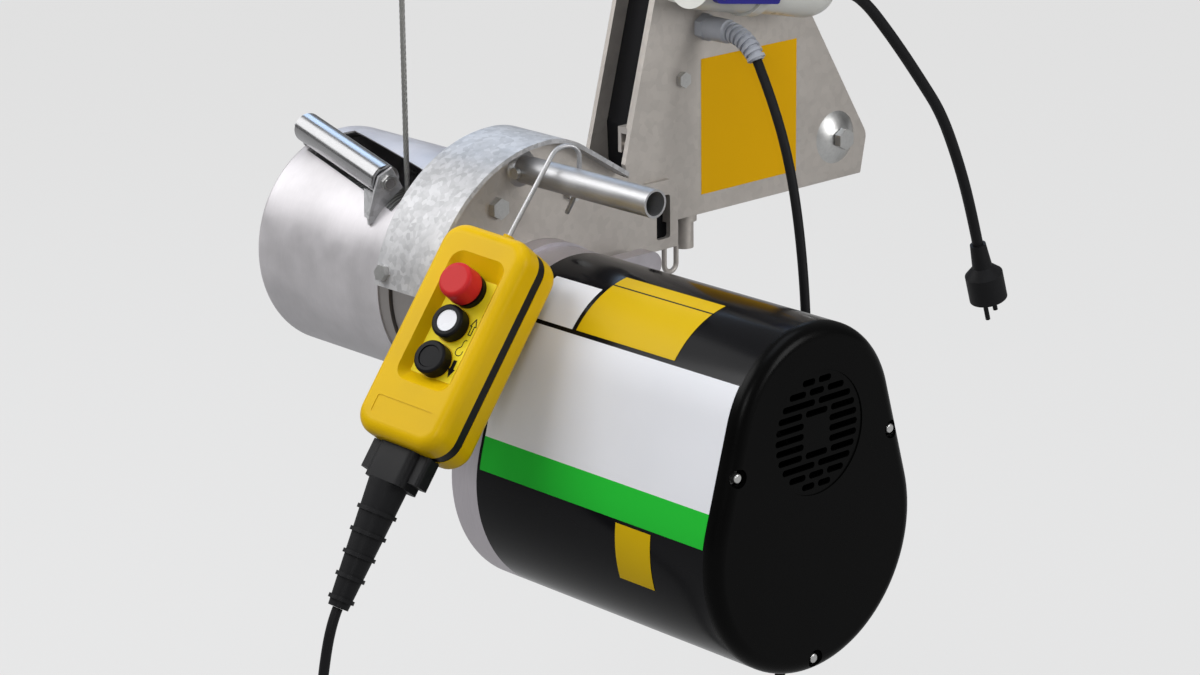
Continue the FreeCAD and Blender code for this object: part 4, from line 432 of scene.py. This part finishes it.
def wrapped_panel(name, spot):
    """A film on the motor cover between two points of its section, drawn to the cover's surface."""
    (x0, x1), low, high, columns, rows = spot
    thickness = sizes().film
    low = at(0, *low)
    high = at(0, *high)
    up = (high - low).normalized()
    across = Vector((1.0, 0.0, 0.0))
    outward = across.cross(up)
    middle = (low + high) / 2 + outward * STAND_OFF * MM
    middle.x = RIM_X + (x0 + x1) / 2 * MM
    panel = start_object(bpy.ops.mesh.primitive_grid_add, name, x_subdivisions=columns, y_subdivisions=rows,
                         size=1.0)
    panel.scale = ((x1 - x0) * MM, (high - low).length, 1.0)
    settle(panel)
    turn = Matrix((across, up, outward)).transposed().to_4x4()
    turn.translation = middle
    settle(panel, turn)
    apply_modifier(panel, "SHRINKWRAP", target=NODES["motor_cover"], wrap_method="PROJECT",
                   wrap_mode="ABOVE_SURFACE", use_negative_direction=True, use_positive_direction=False,
                   offset=thickness)
    apply_modifier(panel, "SOLIDIFY", thickness=thickness, offset=1.0)
    bpy.ops.object.shade_smooth_by_angle(angle=FILM_SMOOTH)
    return panel


class WinchSizes(bpy.types.PropertyGroup):
    control_diameter: FloatProperty(
        name="Control cord", description="Diameter of the pendant's cord", default=0.009, unit="LENGTH")
    mains_diameter: FloatProperty(
        name="Mains cord", description="Diameter of the mains lead", default=0.011, unit="LENGTH")
    rope_diameter: FloatProperty(
        name="Wire rope", description="Diameter of the hoist rope", default=0.005, unit="LENGTH")
    rope_lay: FloatProperty(
        name="Rope lay", description="Length of one turn of the rope's strands", default=0.032, unit="LENGTH")
    rope_strands: IntProperty(
        name="Rope strands", description="Number of strands in the rope", default=6, min=3, max=8)
    film: FloatProperty(
        name="Film", description="Thickness of a label's film", default=0.00025, unit="LENGTH")
    floor_drop: FloatProperty(
        name="Floor drop", description="Distance of the floor below the hanging cord", default=0.06,
        unit="LENGTH")


def colour_property(name, description, default):
    return FloatVectorProperty(name=name, description=description, default=default, subtype="COLOR",
                               min=0.0, max=1.0)


class WinchColours(bpy.types.PropertyGroup):
    sheet: colour_property("Sheet steel", "Galvanised plates", (0.51, 0.475, 0.44))
    tube: colour_property("Handle tube", "Galvanised handle and roller", (0.46, 0.46, 0.47))
    casing: colour_property("Drum casing", "Rolled drum casing", (0.62, 0.60, 0.62))
    case: colour_property("Gear case", "Cast ring behind the drum", (0.33, 0.31, 0.30))
    alloy: colour_property("Cast alloy", "Gearbox ring and castings", (0.53, 0.50, 0.53))
    rim: colour_property("Rim flange", "Galvanised rim and roller brackets", (0.44, 0.44, 0.45))
    zinc: colour_property("Zinc plate", "Fasteners and hooks", (0.60, 0.60, 0.59))
    steel: colour_property("Machined steel", "Roller, shafts and gears", (0.70, 0.70, 0.71))
    rope: colour_property("Wire rope", "Drawn rope wires", (0.30, 0.30, 0.29))
    cover: colour_property("Motor cover", "Black gloss cover", (0.005, 0.005, 0.006))
    cap: colour_property("End cap", "Black moulded cap", (0.002, 0.002, 0.002))
    pendant: colour_property("Pendant", "Yellow pendant housing", (0.67, 0.42, 0.003))
    panel: colour_property("Panel film", "Yellow film behind the buttons", (0.82, 0.66, 0.02))
    stop: colour_property("Stop button", "Red mushroom head", (0.52, 0.018, 0.02))
    white: colour_property("White", "White button and labels", (0.74, 0.75, 0.79))
    # On the switch box inside the bracket's channel, this black stands partly for the channel's shade
    # (painted shade).
    black: colour_property("Black plastic", "Bezels, switch box and fan", (0.008, 0.008, 0.009))
    rubber: colour_property("Rubber", "Cords, sleeve and gasket", (0.008, 0.008, 0.009))
    gland: colour_property("Gland", "Grey cable gland", (0.42, 0.44, 0.49))
    lever: colour_property("Lever", "Blue locking lever", (0.016, 0.013, 0.24))
    connector: colour_property("Connector", "Milky mains connector", (0.72, 0.72, 0.68))
    stripe: colour_property("Stripe", "Green stripe of the large label", (0.018, 0.48, 0.036))
    yellow: colour_property("Yellow label", "Yellow film on the cover", (0.61, 0.40, 0.003))
    plate_label: colour_property("Plate label", "Yellow film on the bracket", (0.80, 0.43, 0.002))
    backdrop: colour_property("Backdrop", "Even tone of floor and background", (1.0, 1.0, 1.0))
    floor: colour_property("Floor", "Matt floor that takes the shadow", (0.25, 0.25, 0.25))


def sizes():
    return bpy.context.scene.winch_sizes


def colour(name):
    return tuple(getattr(bpy.context.scene.winch_colours, name))


class WINCH_OT_finishes(bpy.types.Operator):
    """Give every CAD node its procedural finish"""
    bl_idname = "winch.finishes"
    bl_label = "Node finishes"

    def execute(self, context):
        noise = stretched_noise_group()
        spangle = spangle_group()
        rings = (30.0, 1.5, 1.5)
        dress(sheet_finish("galvanised_sheet", colour("sheet"), spangle, noise,
                           spread=0.06, rough=(0.42, 0.56), metallic=0.7),
              "frame_plate", "bracket_plate_near", "bracket_plate_far", "bracket_web", "stay_rod")
        dress(sheet_finish("galvanised_rim", colour("rim"), spangle, noise,
                           spread=0.2, rough=(0.3, 0.5), metallic=0.25, cell=210.0, cloud=44.0),
              "rim_flange", "roller_brackets")
        dress(turned_finish("drawn_tube", colour("tube"), noise, (2.0, 20.0, 20.0), (0.38, 0.5),
                            spread=0.07, cloud=0.16, metallic=0.8),
              "handle_tube", "pendant_hook")
        dress(turned_finish("rolled_casing", colour("casing"), noise, rings, (0.34, 0.5),
                            spread=0.03, cloud=0.22, metallic=0.5),
              "drum_casing")
        dress(turned_finish("cast_case", colour("case"), noise, rings, (0.4, 0.55)), "gear_case")
        dress(turned_finish("cast_alloy", colour("alloy"), noise, rings, (0.32, 0.45)),
              "gearbox_housing", "motor_shield", "rear_bell")
        dress(turned_finish("zinc_fasteners", colour("zinc"), noise, (6.0, 6.0, 6.0), (0.25, 0.42)),
              "frame_bolts", "bracket_bolts", "dome_washers", "axle_nuts", "cap_screws",
              "snap_hook", "hook_gate")
        dress(turned_finish("ground_roller", colour("tube"), noise, (1.5, 20.0, 20.0), (0.16, 0.22),
                            spread=0.04, cloud=0.04),
              "guide_roller")
        dress(turned_finish("ground_steel", colour("steel"), noise, rings, (0.16, 0.3)),
              "roller_axle", "drum_axle", "bearings", "ring_gear", "final_pinion", "output_gear",
              "layshaft", "layshaft_gear", "motor_shaft", "brake_disc", "rope_drum")
        dress(turned_finish("laminated_iron", colour("case"), noise, (200.0, 1.0, 1.0), (0.45, 0.6)),
              "stator", "rotor")
        dress(winding_finish("rope_layers", colour("rope"), noise, sizes().rope_diameter), "rope_winding")
        dress(turned_finish("drawn_wire", colour("rope"), noise, (4.0, 4.0, 30.0), (0.4, 0.55), spread=0.15),
              "hoist_rope", "rope_eye")
        dress(plastic_finish("black_enamel", colour("cover"), noise, 0.14, 0.02, specular=0.09),
              "motor_cover")
        dress(plastic_finish("black_cap", colour("cap"), noise, 0.28, 0.05, specular=0.06), "end_cap")
        dress(plastic_finish("pendant_shell", colour("pendant"), noise, 0.34, 0.06, specular=0.09),
              "pendant_front", "pendant_back")
        dress(plastic_finish("stop_head", colour("stop"), noise, 0.44, 0.06, specular=0.14), "estop_head")
        dress(plastic_finish("white_button", colour("white"), noise, 0.3, 0.04), "up_button", "capacitor")
        # Black plastic. On the switch box the black also stands for the shade inside the bracket's channel,
        # so there it is partly painted shade.
        dress(plastic_finish("black_plastic", colour("black"), noise, 0.4, 0.08, specular=0.08),
              "button_bezels", "down_button", "switch_box", "contact_blocks", "fan")
        dress(plastic_finish("black_rubber", colour("rubber"), noise, 0.5, 0.15, specular=0.16),
              "pendant_gasket", "cable_sleeve", "control_cord", "mains_cord", "mains_plug")
        dress(plastic_finish("grey_gland", colour("gland"), noise, 0.45, 0.12), "cable_gland")
        dress(plastic_finish("inlet_shell", colour("connector"), noise, 0.4, 0.08), "power_inlet")
        dress(plastic_finish("blue_lever", colour("lever"), noise, 0.3, 0.06), "inlet_lever")
        dress(plastic_finish("milky_connector", colour("connector"), noise, 0.3, 0.05, coat=0.2),
              "mains_connector")
        return {"FINISHED"}


def round_curve(name, points, **settings):
    """A curve of round section with the points as its NURBS control points."""
    data = bpy.data.curves.new(name, "CURVE")
    data.dimensions = "3D"
    for key, value in settings.items():
        setattr(data, key, value)
    spline = data.splines.new("NURBS")
    spline.points.add(len(points) - 1)
    for point, place in zip(spline.points, points):
        point.co = (*place, 1.0)
    spline.order_u = 3
    spline.use_endpoint_u = True
    obj = bpy.data.objects.new(name, data)
    bpy.context.scene.collection.objects.link(obj)
    return obj


def cord_curve(name, route, diameter):
    """A smooth cord along a route."""
    return round_curve(name, [at(*place) for place in route], resolution_u=8, bevel_depth=diameter / 2,
                       bevel_resolution=5, use_fill_caps=True)


class WINCH_OT_cords(bpy.types.Operator):
    """Lay the control cord and the mains lead"""
    bl_idname = "winch.cords"
    bl_label = "Cords"

    def execute(self, context):
        rubber = bpy.data.materials["black_rubber"]
        control = cord_curve("control_cable", CONTROL_ROUTE, sizes().control_diameter)
        finish_piece(control, rubber, "frame")
        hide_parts("control_cord")
        mains = cord_curve("mains_cable", MAINS_ROUTE, sizes().mains_diameter)
        finish_piece(mains, rubber, "frame")
        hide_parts("mains_cord")
        return {"FINISHED"}


class WINCH_OT_rope(bpy.types.Operator):
    """Twist the strands of the hoist rope"""
    bl_idname = "winch.rope"
    bl_label = "Hoist rope"

    def execute(self, context):
        low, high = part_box("hoist_rope")
        middle = (low + high) / 2
        radius = sizes().rope_diameter / 2
        strands = sizes().rope_strands
        rope = start_object(bpy.ops.mesh.primitive_circle_add, "twisted_rope",
                            vertices=strands * STRAND_CORNERS, radius=radius, fill_type="NGON",
                            location=(0.0, 0.0, 0.0))
        for vertex in rope.data.vertices:
            share = (vertex.index % STRAND_CORNERS) / STRAND_CORNERS
            vertex.co *= STRAND_GROOVE + (1 - STRAND_GROOVE) * math.sin(math.pi * share)
        length = high.z - low.z
        turns = length / sizes().rope_lay
        steps = int(turns * STEPS_PER_TURN)
        apply_modifier(rope, "SCREW", axis="Z", angle=math.tau * turns, screw_offset=length, steps=steps,
                       render_steps=steps, use_merge_vertices=False, use_normal_calculate=True)
        settle(rope, Matrix.Translation((middle.x, middle.y, low.z)))
        bpy.ops.object.shade_smooth_by_angle(angle=ROPE_SMOOTH)
        finish_piece(rope, bpy.data.materials["drawn_wire"], "frame")
        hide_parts("hoist_rope")
        return {"FINISHED"}


class WINCH_OT_cover_labels(bpy.types.Operator):
    """Lay the bare films on the motor cover"""
    bl_idname = "winch.cover_labels"
    bl_label = "Cover labels"

    def execute(self, context):
        noise = bpy.data.node_groups["stretched_noise"]
        stripe = [DRUM_Z + height * MM for height in STRIPE]
        white = label_finish("white_film", colour("white"), noise, colour("stripe"), "Z", *stripe)
        large = wrapped_panel("large_label", LARGE_LABEL)
        finish_piece(large, white, "frame")
        plain = label_finish("plain_film", colour("white"), noise)
        small = wrapped_panel("small_label", SMALL_LABEL)
        finish_piece(small, plain, "frame")
        line = [DRUM_Y + place * MM for place in TOP_LINE]
        yellow = label_finish("yellow_film", colour("yellow"), noise, colour("black"), "Y", *line)
        top = wrapped_panel("top_label", TOP_LABEL)
        finish_piece(top, yellow, "frame")
        sound = wrapped_panel("low_label", LOW_LABEL)
        finish_piece(sound, label_finish("low_film", colour("yellow"), noise), "frame")
        return {"FINISHED"}


class WINCH_OT_bracket_label(bpy.types.Operator):
    """Lay the bare film on the bracket's near plate"""
    bl_idname = "winch.bracket_label"
    bl_label = "Bracket label"

    def execute(self, context):
        noise = bpy.data.node_groups["stretched_noise"]
        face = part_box("bracket_plate_near")[1].x
        label = start_object(bpy.ops.mesh.primitive_cube_add, "bracket_label", size=1.0)
        low, high = [at(0, *corner) for corner in BRACKET_LABEL]
        label.scale = (sizes().film, high.y - low.y, high.z - low.z)
        label.location = (face + sizes().film / 2, (low.y + high.y) / 2, (low.z + high.z) / 2)
        settle(label)
        apply_modifier(label, "BEVEL", width=FILM_EDGE * MM, segments=1)
        yellow = label_finish("bracket_film", colour("plate_label"), noise)
        finish_piece(label, yellow, "frame")
        return {"FINISHED"}


def panel_place(x, y):
    """A place on the floor of the pendant's recess."""
    return pendant_matrix() @ Matrix.Translation((x * MM, y * MM, -PANEL_DEPTH * MM))


def panel_film():
    """Film on the recess floor, with openings for the three buttons."""
    width, length, middle_x, middle_y = PANEL_FILM
    film = start_object(bpy.ops.mesh.primitive_cube_add, "panel_film", size=1.0)
    film.scale = (width * MM, length * MM, sizes().film)
    film.location = (middle_x * MM, middle_y * MM, sizes().film / 2)
    settle(film)
    for y in BUTTON_ROWS:
        hole = start_object(bpy.ops.mesh.primitive_cylinder_add, "panel_opening", vertices=OPENING_CORNERS,
                            radius=FILM_OPENING * MM, depth=OPENING_DEPTH * MM,
                            location=(BUTTON_LINE * MM, y * MM, 0.0))
        settle(hole)
        apply_modifier(film, "BOOLEAN", operation="DIFFERENCE", object=hole)
        bpy.data.objects.remove(hole)
    settle(film, panel_place(0.0, 0.0))
    return film


def mark_place(place, turn=0.0):
    """Where a mark lies on the panel's film."""
    lift = Matrix.Translation((0.0, 0.0, sizes().film + MARK_HEIGHT / 2 * MM))
    return panel_place(*place) @ lift @ Matrix.Rotation(turn, 4, "Z")


def arrow_mark(name, place, turn, hollow):
    """A flat arrow, solid or drawn as an outline."""
    half = ARROW_WIDTH / 2
    neck = ARROW_WIDTH / 4
    tip = ARROW_LENGTH / 2
    corners = [(0.0, tip), (-half, 0.0), (-neck, 0.0), (-neck, -tip), (neck, -tip), (neck, 0.0), (half, 0.0)]
    mark = start_object(bpy.ops.mesh.primitive_circle_add, name, vertices=len(corners), fill_type="NGON")
    for vertex, (x, y) in zip(mark.data.vertices, corners):
        vertex.co = (x * MM, y * MM, 0.0)
    bpy.ops.object.mode_set(mode="EDIT")
    bpy.ops.mesh.select_all(action="SELECT")
    bpy.ops.mesh.normals_make_consistent(inside=False)
    if hollow:
        bpy.ops.mesh.inset(thickness=MARK_LINE * MM)
        bpy.ops.mesh.delete(type="FACE")
    bpy.ops.object.mode_set(mode="OBJECT")
    apply_modifier(mark, "SOLIDIFY", thickness=MARK_HEIGHT * MM, offset=0.0)
    settle(mark, mark_place(place, turn))
    return mark


def hook_mark(name, place):
    """A crane hook drawn in one line."""
    points = [(x * MM, y * MM, 0.0) for x, y in HOOK_LINE]
    mark = round_curve(name, points, bevel_depth=MARK_LINE / 2 * MM)
    bpy.ops.object.select_all(action="DESELECT")
    mark.select_set(True)
    bpy.context.view_layer.objects.active = mark
    bpy.ops.object.convert(target="MESH")
    mark = bpy.context.object
    mark.scale = (1.0, 1.0, MARK_HEIGHT / MARK_LINE)
    settle(mark)
    settle(mark, mark_place(place))
    return mark


class WINCH_OT_pendant_marks(bpy.types.Operator):
    """Lay the panel film and the plain direction marks beside the pendant's buttons"""
    bl_idname = "winch.pendant_marks"
    bl_label = "Pendant marks"

    def execute(self, context):
        noise = bpy.data.node_groups["stretched_noise"]
        black = bpy.data.materials["black_plastic"]
        film = panel_film()
        finish_piece(film, label_finish("panel_film", colour("panel"), noise), "frame")
        finish_piece(arrow_mark("up_arrow", UP_ARROW_AT, 0.0, True), black, "frame")
        finish_piece(hook_mark("hook_mark", HOOK_MARK_AT), black, "frame")
        finish_piece(arrow_mark("down_arrow", DOWN_ARROW_AT, math.pi, False), black, "frame")
        return {"FINISHED"}


def studio_light(name, place, aim, size, power, tint):
    data = bpy.data.lights.new(name, "AREA")
    data.shape = "RECTANGLE"
    data.size, data.size_y = size
    data.energy = power
    data.color = tint
    lamp = bpy.data.objects.new(name, data)
    lamp.location = place
    lamp.rotation_euler = (Vector(aim) - Vector(place)).to_track_quat("-Z", "Y").to_euler()
    bpy.context.scene.collection.objects.link(lamp)


def backdrop_material(name, tone, matt_colour):
    """Pale floor that shows as one even tone and still takes a soft shadow."""
    material = bpy.data.materials.new(name)
    material.use_nodes = True
    nodes = material.node_tree.nodes
    links = material.node_tree.links
    nodes.clear()
    out = nodes.new("ShaderNodeOutputMaterial")
    matt = nodes.new("ShaderNodeBsdfDiffuse")
    matt.inputs["Color"].default_value = (*matt_colour, 1.0)
    glow = nodes.new("ShaderNodeEmission")
    glow.inputs["Color"].default_value = (*tone, 1.0)
    path = nodes.new("ShaderNodeLightPath")
    mirrored = nodes.new("ShaderNodeMath")
    mirrored.operation = "MAXIMUM"
    links.new(path.outputs["Is Glossy Ray"], mirrored.inputs[0])
    links.new(path.outputs["Is Transmission Ray"], mirrored.inputs[1])
    share = nodes.new("ShaderNodeMath")
    share.operation = "MAXIMUM"
    for slot, (seen, amount) in enumerate(((path.outputs["Is Camera Ray"], SEEN_GLOW),
                                           (mirrored.outputs["Value"], MIRRORED_GLOW))):
        part = nodes.new("ShaderNodeMath")
        part.operation = "MULTIPLY"
        part.inputs[1].default_value = amount
        links.new(seen, part.inputs[0])
        links.new(part.outputs["Value"], share.inputs[slot])
    mix = nodes.new("ShaderNodeMixShader")
    links.new(share.outputs["Value"], mix.inputs["Fac"])
    links.new(matt.outputs["BSDF"], mix.inputs[1])
    links.new(glow.outputs["Emission"], mix.inputs[2])
    links.new(mix.outputs["Shader"], out.inputs["Surface"])
    return material


class WINCH_OT_stage(bpy.types.Operator):
    """Set the floor, the lights, the world and the camera"""
    bl_idname = "winch.stage"
    bl_label = "Stage"

    def execute(self, context):
        scene = context.scene
        floor_z = CAD_BOX[0][2] - sizes().floor_drop
        floor = start_object(bpy.ops.mesh.primitive_plane_add, "studio_floor", size=FLOOR_SIZE,
                             location=(0.0, 0.0, floor_z))
        floor.data.materials.append(backdrop_material("studio_floor", colour("backdrop"), colour("floor")))

        world = bpy.data.worlds.new("studio_world")
        scene.world = world
        world.use_nodes = True
        nodes = world.node_tree.nodes
        links = world.node_tree.links
        sky = nodes["Background"]
        sky.inputs["Strength"].default_value = SKY_STRENGTH
        place = nodes.new("ShaderNodeTexCoord")
        split = nodes.new("ShaderNodeSeparateXYZ")
        links.new(place.outputs["Generated"], split.inputs["Vector"])
        fade = nodes.new("ShaderNodeMapRange")
        fade.inputs["From Min"].default_value, fade.inputs["From Max"].default_value = SKY_HEIGHTS
        fade.inputs["To Min"].default_value, fade.inputs["To Max"].default_value = SKY_TONES
        links.new(split.outputs["Z"], fade.inputs["Value"])
        links.new(fade.outputs["Result"], sky.inputs["Color"])

        aim = at(*AIM)
        for name, offset, size, power, tint in LIGHTS:
            studio_light(name, aim + Vector(offset), aim, size, power, tint)

        data = bpy.data.cameras.new("photo_camera")
        data.lens = CAMERA_LENS
        data.sensor_width = SENSOR_WIDTH
        data.clip_end = CLIP_END
        camera = bpy.data.objects.new("photo_camera", data)
        matrix = Matrix((CAMERA_RIGHT, CAMERA_UP, CAMERA_BACK)).transposed().to_4x4()
        matrix.translation = at(*CAMERA_AT)
        camera.matrix_world = matrix
        scene.collection.objects.link(camera)
        scene.camera = camera
        scene.view_settings.view_transform = "Standard"
        return {"FINISHED"}


OPERATORS = (WINCH_OT_finishes, WINCH_OT_cords, WINCH_OT_rope, WINCH_OT_cover_labels, WINCH_OT_bracket_label,
             WINCH_OT_pendant_marks, WINCH_OT_stage)


class WINCH_PT_panel(bpy.types.Panel):
    """Lists the winch's pieces in the sidebar"""
    bl_idname = "WINCH_PT_panel"
    bl_label = "Rope winch"
    bl_space_type = "VIEW_3D"
    bl_region_type = "UI"
    bl_category = "Winch"

    def draw(self, context):
        for operator in OPERATORS:
            self.layout.operator(operator.bl_idname)
        for group in (context.scene.winch_sizes, context.scene.winch_colours):
            for name in group.bl_rna.properties.keys():
                if name not in ("rna_type", "name"):
                    self.layout.prop(group, name)


CLASSES = (WinchSizes, WinchColours, *OPERATORS, WINCH_PT_panel)


def register():
    for item in CLASSES:
        bpy.utils.register_class(item)
    bpy.types.Scene.winch_sizes = PointerProperty(type=WinchSizes)
    bpy.types.Scene.winch_colours = PointerProperty(type=WinchColours)


def unregister():
    del bpy.types.Scene.winch_colours
    del bpy.types.Scene.winch_sizes
    for item in reversed(CLASSES):
        bpy.utils.unregister_class(item)


def main():
    register()
    bpy.ops.winch.finishes()
    bpy.ops.winch.cords()
    bpy.ops.winch.rope()
    bpy.ops.winch.cover_labels()
    bpy.ops.winch.bracket_label()
    bpy.ops.winch.pendant_marks()
    bpy.ops.winch.stage()


if __name__ == "__main__":
    main()
